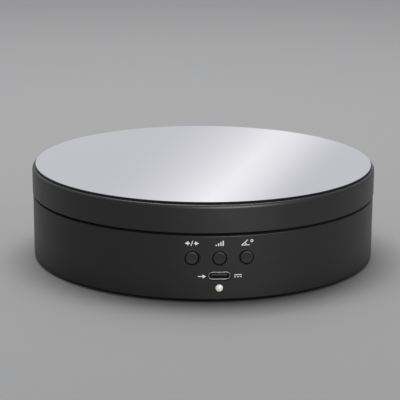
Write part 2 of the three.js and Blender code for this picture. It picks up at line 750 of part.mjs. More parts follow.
/** The screws that hold the motor's ears up against the deck. */
function motorScrews() {
  const sizes = { headRadius: 3, headHeight: 1.8, shankRadius: 1.4, length: 5.2 };
  return [-1, 1].map((side, i) => {
    const placed = screw(`motor_screw_${i + 1}`, sizes);
    const headFoot = MOTOR_PLATE_UNDER - sizes.headHeight - SHEET_GAP;
    placed.position.set(side * EAR_REACH, MOTOR_OFFSET, headFoot);
    return placed;
  });
}

/** The wound coil that fills the lower half of the can round the rotor. */
function statorCoil() {
  const mesh = piece("stator_coil", ring(COIL.inner, COIL.outer, COIL.foot, COIL.top, MEDIUM), copper);
  mesh.position.y = MOTOR_OFFSET;
  return mesh;
}

/** The plate over the coil, with the gears' three pins riveted in it and holes for the turning shafts. */
function trainPlate() {
  const bottom = COIL.top + SHEET_GAP;
  let body = rod(COIL.outer, bottom, TRAIN_PLATE_TOP, rotorAxis.x, rotorAxis.y, MEDIUM);
  for (const axis of [rotorAxis, outputAxis]) {
    body = body.subtract(rod(JOURNAL_HOLE, bottom - CUT, TRAIN_PLATE_TOP + CUT, axis.x, axis.y, TINY));
  }
  for (const axis of [firstAxis, secondAxis, thirdAxis]) {
    const pinTop = MOTOR_PLATE_UNDER - CLEARANCE;
    body = body.add(rod(PIN_RADIUS, bottom + SHEET_GAP, pinTop, axis.x, axis.y, TINY));
  }
  return piece("train_plate", body, zincPlate);
}

/** The ring magnet on its steel shaft, with the train's first pinion on top. */
function rotor() {
  const shaftFoot = CAN_BOTTOM + CAN_SHEET + RUNNING_GAP;
  const magnetBody = rod(MAGNET.radius, MAGNET.foot, MAGNET.top, 0, 0, MEDIUM);
  const shaft = rod(JOURNAL, shaftFoot, layer(0), 0, 0, TINY);
  const toothed = gearOutline(rotorPinion, facing(rotorAxis, firstAxis));
  const top = raised(toothed, layer(0) - RUNNING_GAP, layer(0) + GEAR_FACE);
  const mesh = piece("rotor", magnetBody.add(shaft).add(top), magnet);
  mesh.position.set(rotorAxis.x, rotorAxis.y, 0);
  return mesh;
}

function outputGear() {
  const floor = layer(3);
  const outline = gearOutline(outputWheel, meshedAt(outputWheel, outputAxis, thirdAxis));
  const bore = rod(SHAFT_RADIUS + RUNNING_GAP, floor - CUT, floor + GEAR_FACE + CUT, 0, 0, MEDIUM);
  return piece("output_gear", raised(outline, floor, floor + GEAR_FACE).subtract(bore), whiteAcetal);
}

/** The output shaft: a thin lower journal, the gear seat, and a flatted top that is tapped for the screw. */
function outputShaft() {
  const journalFoot = COIL.top + RUNNING_GAP;
  const flatsFrom = 27;
  const tapFrom = 28;
  const tapRadius = 1.3;
  const journal = rod(JOURNAL, journalFoot, layer(3) + SINK, 0, 0, TINY);
  const seat = rod(SHAFT_RADIUS, layer(3), flatsFrom + SINK, 0, 0, MEDIUM);
  const flatted = raised(doubleD(SHAFT_RADIUS, SHAFT_FLAT), flatsFrom, SHAFT_TOP);
  const tapped = rod(tapRadius, tapFrom, SHAFT_TOP + CUT, 0, 0, TINY);
  return piece("output_shaft", journal.add(seat).add(flatted).subtract(tapped), steel);
}

/** The flat five-wire lead from the motor's window, between its posts, to the plug on the board. */
function motorLead() {
  const halfWidth = 3;
  const halfThickness = 0.6;
  const section = new THREE.Shape(
    points([
      [-halfWidth, -halfThickness],
      [halfWidth, -halfThickness],
      [halfWidth, halfThickness],
      [-halfWidth, halfThickness],
    ]),
  );
  const route = new THREE.CatmullRomCurve3(
    [
      [-5.3, 8],
      [-8, 8],
      [-13, 6.4],
      [-20, 4.4],
      [-36, 4.2],
      [-44, 6],
      [-50, 10],
      [-54, 12],
      [-56.2, 12],
    ].map(([y, z]) => new THREE.Vector3(0, y, z)),
  );
  const swept = new THREE.ExtrudeGeometry(section, { steps: 28, bevelEnabled: false, extrudePath: route });
  return piece("motor_lead", solid(swept), ribbonGrey);
}

// ---- Controls -----------------------------------------------------------------------------------------

/** A push button: a cap that fills its hole flush with the wall, and a flange that keeps it in. */
function button(name, x) {
  const setBack = 0.1;
  const cap = rodAlongY(BUTTON_RADIUS, -BASE_RADIUS - CUT, PAD_FACE + SINK, x, BUTTON_HEIGHT);
  const wallLine = rod(BASE_RADIUS - setBack, 0, SEAM_BOTTOM, 0, 0, ROUND);
  const flange = rodAlongY(FLANGE_RADIUS, PAD_FACE + CLEARANCE, FLANGE_BACK, x, BUTTON_HEIGHT);
  return piece(name, cap.intersect(wallLine).add(flange), blackButton);
}

/** A tactile switch's body, with a well for its plunger. */
function switchBody(name, x) {
  const half = 3;
  const wellRadius = PLUNGER_RADIUS + 0.25;
  const wellDepth = 0.9;
  const foot = BUTTON_HEIGHT - half;
  const box = block(x - half, x + half, SWITCH_FACE, BOARD_FRONT - CLEARANCE, foot, BUTTON_HEIGHT + half);
  const well = rodAlongY(wellRadius, SWITCH_FACE - CUT, SWITCH_FACE + wellDepth, x, BUTTON_HEIGHT, PLAIN);
  return piece(name, box.subtract(well), blackPart);
}

/** The plunger that a button's flange pushes into its switch. */
function switchPlunger(name, x) {
  const inWell = 0.3;
  const front = FLANGE_BACK + CLEARANCE;
  const body = rodAlongY(PLUNGER_RADIUS, front, SWITCH_FACE + inWell, x, BUTTON_HEIGHT, PLAIN);
  return piece(name, body, blackButton);
}

function controlBoard() {
  const { halfWidth, foot, top, screwHole } = BOARD;
  let body = block(-halfWidth, halfWidth, BOARD_FRONT, BOARD_BACK, foot, top);
  for (const x of [-BOARD_SCREW_X, BOARD_SCREW_X]) {
    const hole = rodAlongY(screwHole, BOARD_FRONT - CUT, BOARD_BACK + CUT, x, BOARD_SCREW_HEIGHT, PLAIN);
    body = body.subtract(hole);
  }
  return piece("control_board", body, greenBoard);
}

/** The screws that hold the board to its two posts, driven from inside. */
function boardScrews() {
  const sizes = { headRadius: 1.9, headHeight: 1.3, shankRadius: 0.85, length: 4.6 };
  return [-1, 1].map((side, i) => {
    const placed = screw(`board_screw_${i + 1}`, sizes);
    placed.rotation.x = Math.PI / 2;
    const headBack = BOARD_BACK + sizes.headHeight + SHEET_GAP;
    placed.position.set(side * BOARD_SCREW_X, headBack, BOARD_SCREW_HEIGHT);
    return placed;
  });
}

/** The inlet's steel shell, at the standard size. */
function usbShell() {
  const outline = stadium(INLET.width, INLET.height);
  const inner = [INLET.width - 2 * INLET.sheet, INLET.height - 2 * INLET.sheet];
  outline.holes.push(stadium(...inner, THREE.Path));
  const body = carriedBack(outline, INLET.front, BOARD_FRONT - CLEARANCE, INLET_HEIGHT);
  return piece("usb_shell", body, steel);
}

/** The inlet's moulded core, with the tongue that carries its contacts. */
function usbTongue() {
  const { coreWidth, coreHeight, coreFront, tongueHalf, tongueFront, tongueThickness } = INLET;
  const core = carriedBack(stadium(coreWidth, coreHeight), coreFront, BOARD_FRONT - CLEARANCE, INLET_HEIGHT);
  const foot = INLET_HEIGHT - tongueThickness / 2;
  const top = INLET_HEIGHT + tongueThickness / 2;
  const tongue = block(-tongueHalf, tongueHalf, tongueFront, coreFront + SINK, foot, top);
  return piece("usb_tongue", core.add(tongue), blackPart);
}

/** The power lamp: a domed 3 mm body on two leads. */
function powerLamp() {
  const front = -74.95;
  const domeDepth = 0.8;
  const flangeRadius = 1.9;
  const flangeFront = -70.3;
  const flangeBack = -69.3;
  const profile = [
    [0, front],
    [LAMP_RADIUS * 0.6, front + domeDepth * 0.2],
    [LAMP_RADIUS, front + domeDepth],
    [LAMP_RADIUS, flangeFront],
    [flangeRadius, flangeFront],
    [flangeRadius, flangeBack],
    [0, flangeBack],
  ];
  let body = turnedAlongY(profile, 0, LAMP_HEIGHT);
  const leadX = 0.8;
  const leadHalf = 0.25;
  const leadBack = BOARD_FRONT - CLEARANCE;
  for (const x of [-leadX, leadX]) {
    const foot = LAMP_HEIGHT - leadHalf;
    const top = LAMP_HEIGHT + leadHalf;
    body = body.add(block(x - leadHalf, x + leadHalf, flangeBack - SINK / 2, leadBack, foot, top));
  }
  return piece("power_lamp", body, lampLens);
}

function controllerChip() {
  const { left, right, foot, top, thickness } = CHIP;
  const back = BOARD_BACK + SHEET_GAP;
  return piece("controller_chip", block(left, right, back, back + thickness, foot, top), blackPart);
}

function leadPlug() {
  const { halfWidth, foot, top, thickness } = PLUG;
  const back = BOARD_BACK + CLEARANCE;
  return piece("lead_plug", block(-halfWidth, halfWidth, back, back + thickness, foot, top), whiteAcetal);
}

// ---- Assembly -----------------------------------------------------------------------------------------

const base = group(baseShell(), bottomCover(), ...feet(), ...coverScrews());
const ballRing = group(
  race("lower_race", true, LOWER_RACE_TOP),
  race("upper_race", false, UPPER_RACE_UNDER),
  ballCage(),
  ...balls(),
);
const platter = group(platterTray(), mirrorDisc(), mirrorTape(), driveHub(), shaftScrew());
const motor = group(
  motorCan(),
  motorPlate(),
  ...motorScrews(),
  statorCoil(),
  trainPlate(),
  rotor(),
  compoundGear("train_gear_1", firstWheel, firstPinion, firstAxis, rotorAxis, secondAxis, layer(0)),
  compoundGear("train_gear_2", secondWheel, secondPinion, secondAxis, firstAxis, thirdAxis, layer(1)),
  compoundGear("train_gear_3", thirdWheel, thirdPinion, thirdAxis, secondAxis, outputAxis, layer(2)),
  outputGear(),
  outputShaft(),
  motorLead(),
);
const pushButtons = Object.entries(BUTTON_PLACES).flatMap(([use, x]) => [
  button(`${use}_button`, x),
  switchPlunger(`${use}_plunger`, x),
  switchBody(`${use}_switch`, x),
]);
const controls = group(
  ...pushButtons,
  controlBoard(),
  ...boardScrews(),
  usbShell(),
  usbTongue(),
  powerLamp(),
  controllerChip(),
  leadPlug(),
);

const standing = group(base, ballRing, platter, motor, controls);
standing.position.z = FOOT_DROP;

export default group(standing);
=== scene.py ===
"""The visible surfaces, finishes, light and camera of a motorised turntable display stand.

Everything is in metres, +Z up, with the origin on the floor under the centre of the stand and the
controls facing -Y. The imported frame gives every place. New pieces are turned, cut and softened as a
model maker would, and each one rides on the body whose solid it stands for.
"""

import logging
import math
from dataclasses import dataclass, field
from enum import Enum
from typing import Callable, Iterable, Mapping, Sequence

import bpy
from bpy.types import Material, Node, NodeSocket, NodeTree, Object
from mathutils import Euler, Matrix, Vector


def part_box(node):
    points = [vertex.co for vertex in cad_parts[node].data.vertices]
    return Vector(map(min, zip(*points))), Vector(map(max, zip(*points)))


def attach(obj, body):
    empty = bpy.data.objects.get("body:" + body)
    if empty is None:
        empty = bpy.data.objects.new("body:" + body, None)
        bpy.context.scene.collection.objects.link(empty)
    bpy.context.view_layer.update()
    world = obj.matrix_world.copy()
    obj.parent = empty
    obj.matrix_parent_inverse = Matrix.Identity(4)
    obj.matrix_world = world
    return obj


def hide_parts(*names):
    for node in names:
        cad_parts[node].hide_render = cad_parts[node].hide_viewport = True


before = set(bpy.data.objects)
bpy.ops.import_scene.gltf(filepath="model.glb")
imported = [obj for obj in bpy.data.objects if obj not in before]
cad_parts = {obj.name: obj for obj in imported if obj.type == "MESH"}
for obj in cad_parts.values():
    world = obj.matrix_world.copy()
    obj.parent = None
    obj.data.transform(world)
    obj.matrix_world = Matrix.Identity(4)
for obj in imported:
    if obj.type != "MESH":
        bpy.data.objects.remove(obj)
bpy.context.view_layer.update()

HOUSING_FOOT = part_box("base_shell")[0].z

MM = 0.001
FINE = 256  # sides of a large round piece
NEAT = 96  # sides of a small one
PLAIN = 48  # sides of a post
COARSE = 32  # sides of a screw hole
SINK = 0.5 * MM  # how far joined solids run into each other
PITCH_OF_FOUR = 90  # degrees between pieces that stand in a ring of four
HAIR = 0.02 * MM  # the lift of ink off the wall, and the least gap between two skins
OVERRUN = 1 * MM  # how far a cutter runs past what it opens
MIRROR = "mirror_plate"
FLOOR = "studio_floor"
PRINT_SLOT = "acetal_white"

Point = tuple[float, float]
Point3 = tuple[float, float, float]
Colour = tuple[float, float, float]

log = logging.getLogger("turntable")


def up(height: float) -> float:
    """A height above the housing's lower edge, as a height above the floor."""
    return HOUSING_FOOT + height


# ---- Modelling by hand ----


class Axis(Enum):
    """The way that the axis of a turned piece points."""

    UP = (0.0, 0.0, 0.0)
    FORWARD = (math.pi / 2, 0.0, 0.0)  # out of the wall that carries the controls


def deselect() -> None:
    """Leaves object mode with nothing selected."""
    if bpy.context.mode != "OBJECT":
        bpy.ops.object.mode_set(mode="OBJECT")
    bpy.ops.object.select_all(action="DESELECT")


def take(piece: Object) -> Object:
    """Makes a piece the only one selected, and the active one."""
    deselect()
    piece.select_set(True)
    bpy.context.view_layer.objects.active = piece
    return piece


def settle(piece: Object) -> Object:
    """Puts a piece's place, turn and size into its mesh."""
    take(piece)
    bpy.ops.object.transform_apply(location=True, rotation=True, scale=True)
    return piece


def edit_all(piece: Object, kind: str = "EDGE") -> None:
    """Opens a piece for editing, with all of it selected.

    Args:
        piece: the piece to open.
        kind: what the selection is made of, VERT, EDGE or FACE.
    """
    take(piece)
    bpy.ops.object.mode_set(mode="EDIT")
    bpy.ops.mesh.select_mode(type=kind)
    bpy.ops.mesh.select_all(action="SELECT")


def pick(piece: Object, kind: str, wanted: Callable[[Vector, Vector], bool]) -> bool:
    """Opens a piece for editing, with only some of its corners or faces selected.

    Args:
        piece: the piece to open.
        kind: what is picked, VERT or FACE.
        wanted: tells from a corner's or a face's place and normal whether it is picked.

    Returns:
        Whether there was anything to pick.
    """
    edit_all(piece, kind)
    bpy.ops.mesh.select_all(action="DESELECT")
    bpy.ops.object.mode_set(mode="OBJECT")
    if kind == "VERT":
        found = [part for part in piece.data.vertices if wanted(part.co, part.normal)]
    else:
        found = [part for part in piece.data.polygons if wanted(part.center, part.normal)]
    for part in found:
        part.select = True
    bpy.ops.object.mode_set(mode="EDIT")
    return bool(found)


def close_up(piece: Object) -> Object:
    """Merges doubled corners and turns every face outwards."""
    edit_all(piece, "FACE")
    bpy.ops.mesh.remove_doubles(threshold=1e-7)
    bpy.ops.mesh.normals_make_consistent(inside=False)
    bpy.ops.object.mode_set(mode="OBJECT")
    return piece


def turned(
    name: str,
    profile: Sequence[Point],
    sides: int = NEAT,
    axis: Axis = Axis.UP,
    at: Sequence[float] = (0.0, 0.0, 0.0),
) -> Object:
    """Turns a piece: a circle is extruded and resized from one point of its profile to the next.

    Args:
        name: the piece's name.
        profile: (radius, height) points. A profile that ends where it starts makes a ring.
        sides: how many sides the circle has.
        axis: the way that the piece's axis points.
        at: where the profile's zero lies.

    Returns:
        The closed piece, with its place in its mesh.
    """
    hollow = profile[0] == profile[-1]
    radius, height = profile[0]
    deselect()
    bpy.ops.mesh.primitive_circle_add(
        vertices=sides,
        radius=radius,
        fill_type="NOTHING" if hollow else "NGON",
        location=(0, 0, height),
    )
    piece = bpy.context.object
    piece.name = name
    settle(piece)
    edit_all(piece)
    for next_radius, next_height in profile[1:]:
        bpy.ops.mesh.extrude_region_move(
            TRANSFORM_OT_translate={"value": (0, 0, next_height - height)}
        )
        growth = next_radius / radius
        bpy.ops.transform.resize(value=(growth, growth, 1), center_override=(0, 0, 0))
        radius, height = next_radius, next_height
    close_up(piece)
    piece.rotation_euler = axis.value
    piece.location = at
    return settle(piece)


def rod(
    name: str,
    radius: float,
    low: float,
    high: float,
    at: Point = (0.0, 0.0),
    axis: Axis = Axis.UP,
    sides: int = NEAT,
) -> Object:
    """A plain rod, for a boss or a cutter.

    Args:
        name: the rod's name.
        radius: its radius.
        low: where it starts along its axis.
        high: where it ends.
        at: (x, y) of an upright rod's axis, or (x, z) of one that runs along Y.
        axis: the way that it points. One that runs along Y is given its span in Y.
        sides: how many sides it has.

    Returns:
        The rod.
    """
    if axis is Axis.UP:
        place = (at[0], at[1], 0)
        span = (low, high)
    else:
        place = (at[0], 0, at[1])
        span = (-high, -low)
    return turned(name, [(radius, span[0]), (radius, span[1])], sides, axis, place)


def box(name: str, low: Sequence[float], high: Sequence[float]) -> Object:
    """A box between two corners, for a rib, a pad or a cutter."""
    deselect()
    bpy.ops.mesh.primitive_cube_add(size=1, location=[(a + b) / 2 for a, b in zip(low, high)])
    made = bpy.context.object
    made.name = name
    made.scale = [b - a for a, b in zip(low, high)]
    return settle(made)


def bar_with_round_ends(
    name: str, width: float, height: float, front: float, back: float, at: Point
) -> Object:
    """A bar along Y whose section is a slot with round ends.

    Args:
        name: the bar's name.
        width: across, along X.
        height: along Z, which is also twice the ends' radius.
        front: where it starts in Y.
        back: where it ends in Y.
        at: (x, z) of its middle.

    Returns:
        The closed bar.
    """
    made = rod(name, height / 2, front, back, (0, 0), Axis.FORWARD, NEAT)
    reach = (width - height) / 2
    for side in (-1, 1):
        pick(made, "VERT", lambda spot, _: spot.x * side > HAIR)
        bpy.ops.transform.translate(value=(side * reach, 0, 0))
        bpy.ops.object.mode_set(mode="OBJECT")
    made.location = (at[0], 0, at[1])
    return settle(made)


def modified(piece: Object, kind: str, **settings: object) -> Object:
    """Adds a modifier to a piece and applies it.

    Args:
        piece: the piece.
        kind: the modifier's type.
        **settings: the modifier's own settings.

    Returns:
        The piece.
    """
    step = take(piece).modifiers.new(kind.lower(), kind)
    for key, value in settings.items():
        setattr(step, key, value)
    bpy.ops.object.modifier_apply(modifier=step.name)
    return piece


def joined(pieces: Sequence[Object], name: str) -> Object:
    """Makes one object of several.

    Args:
        pieces: the pieces.
        name: the new object's name.

    Returns:
        The object.
    """
    deselect()
    for piece in pieces:
        piece.select_set(True)
    bpy.context.view_layer.objects.active = pieces[0]
    bpy.ops.object.join()
    made = bpy.context.object
    made.name = name
    return made


def combine(piece: Object, others: Iterable[Object], operation: str) -> Object:
    """Joins solids to a piece or cuts them from it, and clears them away.

    Args:
        piece: the piece that is kept.
        others: the solids that are used up.
        operation: UNION or DIFFERENCE.

    Returns:
        The piece.
    """
    for other in others:
        modified(piece, "BOOLEAN", operation=operation, solver="EXACT", object=other)
        bpy.data.objects.remove(other)
    return piece


def soften(piece: Object, width: float, steps: int = 3, sharper_than: float = 40.0) -> Object:
    """Rounds a piece's sharp edges.

    Args:
        piece: the piece.
        width: how wide the rounding is.
        steps: how many faces it takes.
        sharper_than: the least angle between two faces, in degrees, that is rounded.

    Returns:
        The piece.
    """
    limit = {"limit_method": "ANGLE", "angle_limit": math.radians(sharper_than)}
    return modified(piece, "BEVEL", width=width, segments=steps, **limit)


def smooth(piece: Object, angle: float = 32.0) -> Object:
    """Shades a piece smooth across edges that are flatter than an angle in degrees."""
    take(piece)
    bpy.ops.object.shade_smooth_by_angle(angle=math.radians(angle))
    return piece


def true_wall(piece: Object, radius: float) -> None:
    """Makes the shading of a round upright wall exact, so that the holes in it leave no mark.

    Args:
        piece: the piece that has the wall.
        radius: the wall's radius.
    """
    slack = 0.012 * MM
    mesh = piece.data
    normals = [corner.vector.copy() for corner in mesh.corner_normals]
    for face in mesh.polygons:
        places = [mesh.vertices[i].co for i in face.vertices]
        if all(abs(math.hypot(place.x, place.y) - radius) < slack for place in places):
            for loop in face.loop_indices:
                place = mesh.vertices[mesh.loops[loop].vertex_index].co
                normals[loop] = Vector((place.x, place.y, 0)).normalized()
    mesh.normals_split_custom_set(normals)


def copied(piece: Object, name: str, turn: float) -> Object:
    """A copy of a piece with its own mesh, turned about the stand's axis.

    Args:
        piece: the piece to copy.
        name: the copy's name.
        turn: how far it is turned, in degrees.

    Returns:
        The copy, with its place in its mesh.
    """
    take(piece)
    bpy.ops.object.duplicate(linked=False)
    made = bpy.context.object
    made.name = name
    made.rotation_euler.z = math.radians(turn)
    return settle(made)


# ---- Finishes ----


class Graph:
    """A node tree being built, from left to right."""

    def __init__(self, tree: NodeTree) -> None:
        """Starts with an empty tree."""
        self.tree = tree
        tree.nodes.clear()

    def feed(self, node: Node, inputs: dict[str | int, object]) -> None:
        """Feeds a node.

        Args:
            node: the node.
            inputs: what feeds its inputs, by name or number: sockets are linked and values are set.
        """
        for key, value in inputs.items():
            if isinstance(value, NodeSocket):
                self.tree.links.new(value, node.inputs[key])
            else:
                node.inputs[key].default_value = value

    def add(self, kind: str, inputs: dict[str | int, object] | None = None, **settings: object) -> Node:
        """Adds a node.

        Args:
            kind: the node's type, without its ShaderNode prefix.
            inputs: what feeds its inputs.
            **settings: the node's own settings.

        Returns:
            The node.
        """
        node = self.tree.nodes.new(kind if kind.startswith("Node") else "ShaderNode" + kind)
        for key, value in settings.items():
            setattr(node, key, value)
        self.feed(node, inputs or {})
        return node

    def sum(self, operation: str, *values: float | NodeSocket) -> NodeSocket:
        """Works out one step of arithmetic."""
        return self.add("Math", dict(enumerate(values)), operation=operation).outputs["Value"]

    def noise(self, spot: NodeSocket, scale: object, detail: float, rough: float = 0.5) -> NodeSocket:
        """Adds a noise, and gives its value."""
        inputs = {"Vector": spot, "Scale": scale, "Detail": detail, "Roughness": rough}
        return self.add("TexNoise", inputs).outputs[0]

    def height(self, way: NodeSocket) -> NodeSocket:
        """The upright part of a direction."""
        return self.add("SeparateXYZ", {"Vector": way}).outputs["Z"]

    def ramp(
        self, value: NodeSocket, start: float, end: float, least: float = 0.0, way: str = "LINEAR"
    ) -> NodeSocket:
        """Maps a value to a mask that ends at 1.

        Args:
            value: the value.
            start: where the mask starts.
            end: where it reaches 1.
            least: what it starts at.
            way: how it runs, LINEAR or SMOOTHSTEP.

        Returns:
            The mask.
        """
        inputs = {"Value": value, "From Min": start, "From Max": end, "To Min": least}
        return self.add("MapRange", inputs, interpolation_type=way).outputs["Result"]

    def spread(self, value: NodeSocket, low: float, high: float) -> NodeSocket:
        """Maps a mask from 0 and 1 to two other values."""
        made = self.add("MapRange", {"Value": value, "To Min": low, "To Max": high})
        return made.outputs["Result"]

    def between(
        self,
        mask: NodeSocket,
        first: Colour | NodeSocket,
        second: Colour | NodeSocket,
        way: str = "MIX",
    ) -> NodeSocket:
        """Mixes two colours by a mask.

        Args:
            mask: how much of the second colour there is.
            first: a colour, or a socket that gives one.
            second: the other colour.
            way: how they are mixed, MIX or ADD.

        Returns:
            The mixed colour.
        """
        made = self.add("Mix", data_type="RGBA", blend_type=way)
        factor, *colours = (number for number, socket in enumerate(made.inputs) if socket.enabled)
        whole = (part if isinstance(part, NodeSocket) else (*part, 1) for part in (first, second))
        self.feed(made, {factor: mask, **dict(zip(colours, whole))})
        return next(socket for socket in made.outputs if socket.enabled)


def group_of(
    name: str,
    inputs: dict[str, float | Point3],
    fill: Callable[[Graph, Mapping[str, NodeSocket]], dict[str, NodeSocket]],
) -> NodeTree:
    """A node group, which is built once.

    Args:
        name: the group's name.
        inputs: its inputs, with their default values.
        fill: adds its nodes, and gives what comes out of it.

    Returns:
        The group.
    """
    if name in bpy.data.node_groups:
        return bpy.data.node_groups[name]
    group = bpy.data.node_groups.new(name, "ShaderNodeTree")
    graph = Graph(group)
    for label, value in inputs.items():
        kind = "NodeSocketFloat" if isinstance(value, float) else "NodeSocketVector"
        group.interface.new_socket(label, in_out="INPUT", socket_type=kind).default_value = value
    results = fill(graph, graph.add("NodeGroupInput").outputs)
    for label in results:
        group.interface.new_socket(label, in_out="OUTPUT", socket_type="NodeSocketFloat")
    graph.add("NodeGroupOutput", results)
    return group


def moulded(graph: Graph, given: Mapping[str, NodeSocket]) -> dict[str, NodeSocket]:
    """Fills the group of moulded surfaces: a fine grain, a broad mottle and a film that lies on top.

    Args:
        graph: the group's graph.
        given: the group's inputs.

    Returns:
        The group's outputs.
    """
    grain = graph.noise(given["Place"], given["Grain Scale"], 2.0)
    mottle = graph.noise(given["Place"], given["Mottle Scale"], 5.0, 0.6)
    upward = graph.ramp(graph.height(graph.add("NewGeometry").outputs["Normal"]), 0.2, 1.0)
    return {"Grain": grain, "Mottle": mottle, "Film": graph.sum("MULTIPLY", upward, mottle)}


def brushed(graph: Graph, given: Mapping[str, NodeSocket]) -> dict[str, NodeSocket]:
    """Fills the group of drawn, turned and ground metals: fine lines along one way, and a tarnish.

    Args:
        graph: the group's graph.
        given: the group's inputs.

    Returns:
        The group's outputs.
    """
    stretch = {0: given["Place"], 1: given["Stretch"]}
    drawn = graph.add("VectorMath", stretch, operation="MULTIPLY").outputs["Vector"]
    lines = graph.noise(drawn, 900.0, 3.0, 0.55)
    return {"Lines": lines, "Tarnish": graph.noise(given["Place"], 180.0, 4.0)}


def shaded(colour: Colour, factor: float) -> Colour:
    """A colour made lighter or darker by a factor."""
    return tuple(min(1.0, part * factor) for part in colour)


@dataclass(frozen=True)
class Finish:
    """What every finish has: a name, a colour and a roughness."""

    name: str
    colour: Colour
    roughness: float

    def start(self) -> tuple[Material, Graph, Node]:
        """Makes the material's shader.

        Returns:
            The material, its graph, and its Principled shader.
        """
        material = bpy.data.materials.new(self.name)
        material.use_nodes = True
        graph = Graph(material.node_tree)
        inputs = {"Base Color": (*self.colour, 1), "Roughness": self.roughness}
        shader = graph.add("BsdfPrincipled", inputs)
        graph.add("OutputMaterial", {"Surface": shader.outputs["BSDF"]})
        return material, graph, shader

    def group(
        self, graph: Graph, tree: NodeTree, inputs: dict[str, object]
    ) -> Mapping[str, NodeSocket]:
        """Places a surface's group on the piece, and gives its outputs."""
        spot = graph.add("TexCoord").outputs["Object"]
        return graph.add("Group", {"Place": spot, **inputs}, node_tree=tree).outputs

    def surface(self, graph: Graph, grain: float, mottle: float) -> Mapping[str, NodeSocket]:
        """Places the moulded surface's group on the piece.

        Args:
            graph: the material's graph.
            grain: the grain's size, in metres.
            mottle: the mottle's size, in metres.

        Returns:
            The group's outputs.
        """
        defaults = {"Place": (0.0, 0.0, 0.0), "Grain Scale": 4000.0, "Mottle Scale": 60.0}
        tree = group_of("moulded_surface", defaults, moulded)
        return self.group(graph, tree, {"Grain Scale": 1 / grain, "Mottle Scale": 1 / mottle})

    def tone(self, graph: Graph, mask: NodeSocket, dark: float, light: float) -> NodeSocket:
        """The finish's colour, which strays between a darker and a lighter one."""
        return graph.between(mask, shaded(self.colour, dark), shaded(self.colour, light))

    def relief(self, graph: Graph, height: NodeSocket, depth: float) -> NodeSocket:
        """The normal of a fine relief, whose depth is in metres."""
        bump = graph.add("Bump", {"Height": height, "Distance": depth, "Strength": 1.0})
        return bump.outputs["Normal"]


@dataclass(frozen=True)
class MouldedPlastic(Finish):
    """Injection-moulded plastic with a spark-eroded grain."""

    grain: float = 0.35 * MM
    mottle: float = 14 * MM
    depth: float = 0.004 * MM
    variety: float = 0.08
    dullness: float = 0.05
    film: float = 0.004
    specular: float = 0.5

    def material(self) -> Material:
        """Builds the material.

        Returns:
            The material.
        """
        material, graph, shader = self.start()
        surface = self.surface(graph, self.grain, self.mottle)
        mottle = surface["Mottle"]
        tone = self.tone(graph, mottle, 1 - self.variety, 1 + self.variety)
        dull = graph.spread(mottle, self.roughness - self.dullness, self.roughness + self.dullness)
        inputs = {
            "Base Color": graph.between(surface["Film"], tone, (self.film,) * 3, "ADD"),
            "Roughness": dull,
            "Specular IOR Level": self.specular,
            "Normal": self.relief(graph, surface["Grain"], self.depth),
        }
        graph.feed(shader, inputs)
        return material


class Grain(Enum):
    """How the lines on a metal run: the place is stretched by these, so lines follow the small one."""

    EVEN = (1.0, 1.0, 1.0)
    ACROSS = (0.05, 1.0, 1.0)
    INWARD = (1.0, 0.05, 1.0)
    UPWARD = (1.0, 1.0, 0.05)


@dataclass(frozen=True)
class Metal(Finish):
    """Bare or plated metal with the lines of its working and a little tarnish."""

    lines: Grain = Grain.EVEN
    depth: float = 0.002 * MM
    tarnish: tuple[float, float] = (0.86, 1.08)
    wear: tuple[float, float] = (0.8, 1.25)

    def material(self) -> Material:
        """Builds the material.

        Returns:
            The material.
        """
        material, graph, shader = self.start()
        plain = (1.0, 1.0, 1.0)
        tree = group_of("brushed_surface", {"Place": (0.0, 0.0, 0.0), "Stretch": plain}, brushed)
        worked = self.group(graph, tree, {"Stretch": self.lines.value})
        low, high = self.wear
        inputs = {
            "Metallic": 1.0,
            "Base Color": self.tone(graph, worked["Tarnish"], *self.tarnish),
            "Roughness": graph.spread(worked["Lines"], self.roughness * low, self.roughness * high),
            "Normal": self.relief(graph, worked["Lines"], self.depth),
        }
        graph.feed(shader, inputs)
        return material


@dataclass(frozen=True)
class SilveredGlass(Finish):
    """A silvered sheet: an even mirror with the faintest haze from wiping."""

    grain: float = 0.6 * MM
    smear: float = 30 * MM
    haze: tuple[float, float] = (0.7, 1.3)
    dimmest: float = 0.985

    def material(self) -> Material:
        """Builds the material.

        Returns:
            The material.
        """
        material, graph, shader = self.start()
        smear = self.surface(graph, self.grain, self.smear)["Mottle"]
        low, high = self.haze
        inputs = {
            "Metallic": 1.0,
            "Roughness": graph.spread(smear, self.roughness * low, self.roughness * high),
            "Base Color": self.tone(graph, smear, self.dimmest, 1.0),
        }
        graph.feed(shader, inputs)
        return material


@dataclass(frozen=True)
class MilkyLens(Finish):
    """A diffusing lamp lens, with a faint glow of its own."""

    glow: float = 0.2
    grain: float = 0.25 * MM
    cloud: float = 1.2 * MM
    depth: float = 0.002 * MM
    milk: tuple[float, float] = (0.86, 1.1)
    gloss: float = 0.6
    gloss_roughness: float = 0.12

    def material(self) -> Material:
        """Builds the material.

        Returns:
            The material.
        """
        material, graph, shader = self.start()
        surface = self.surface(graph, self.grain, self.cloud)
        tone = self.tone(graph, surface["Mottle"], *self.milk)
        inputs = {
            "Base Color": tone,
            "Emission Color": tone,
            "Emission Strength": self.glow,
            "Coat Weight": self.gloss,
            "Coat Roughness": self.gloss_roughness,
            "Normal": self.relief(graph, surface["Grain"], self.depth),
        }
        graph.feed(shader, inputs)
        return material


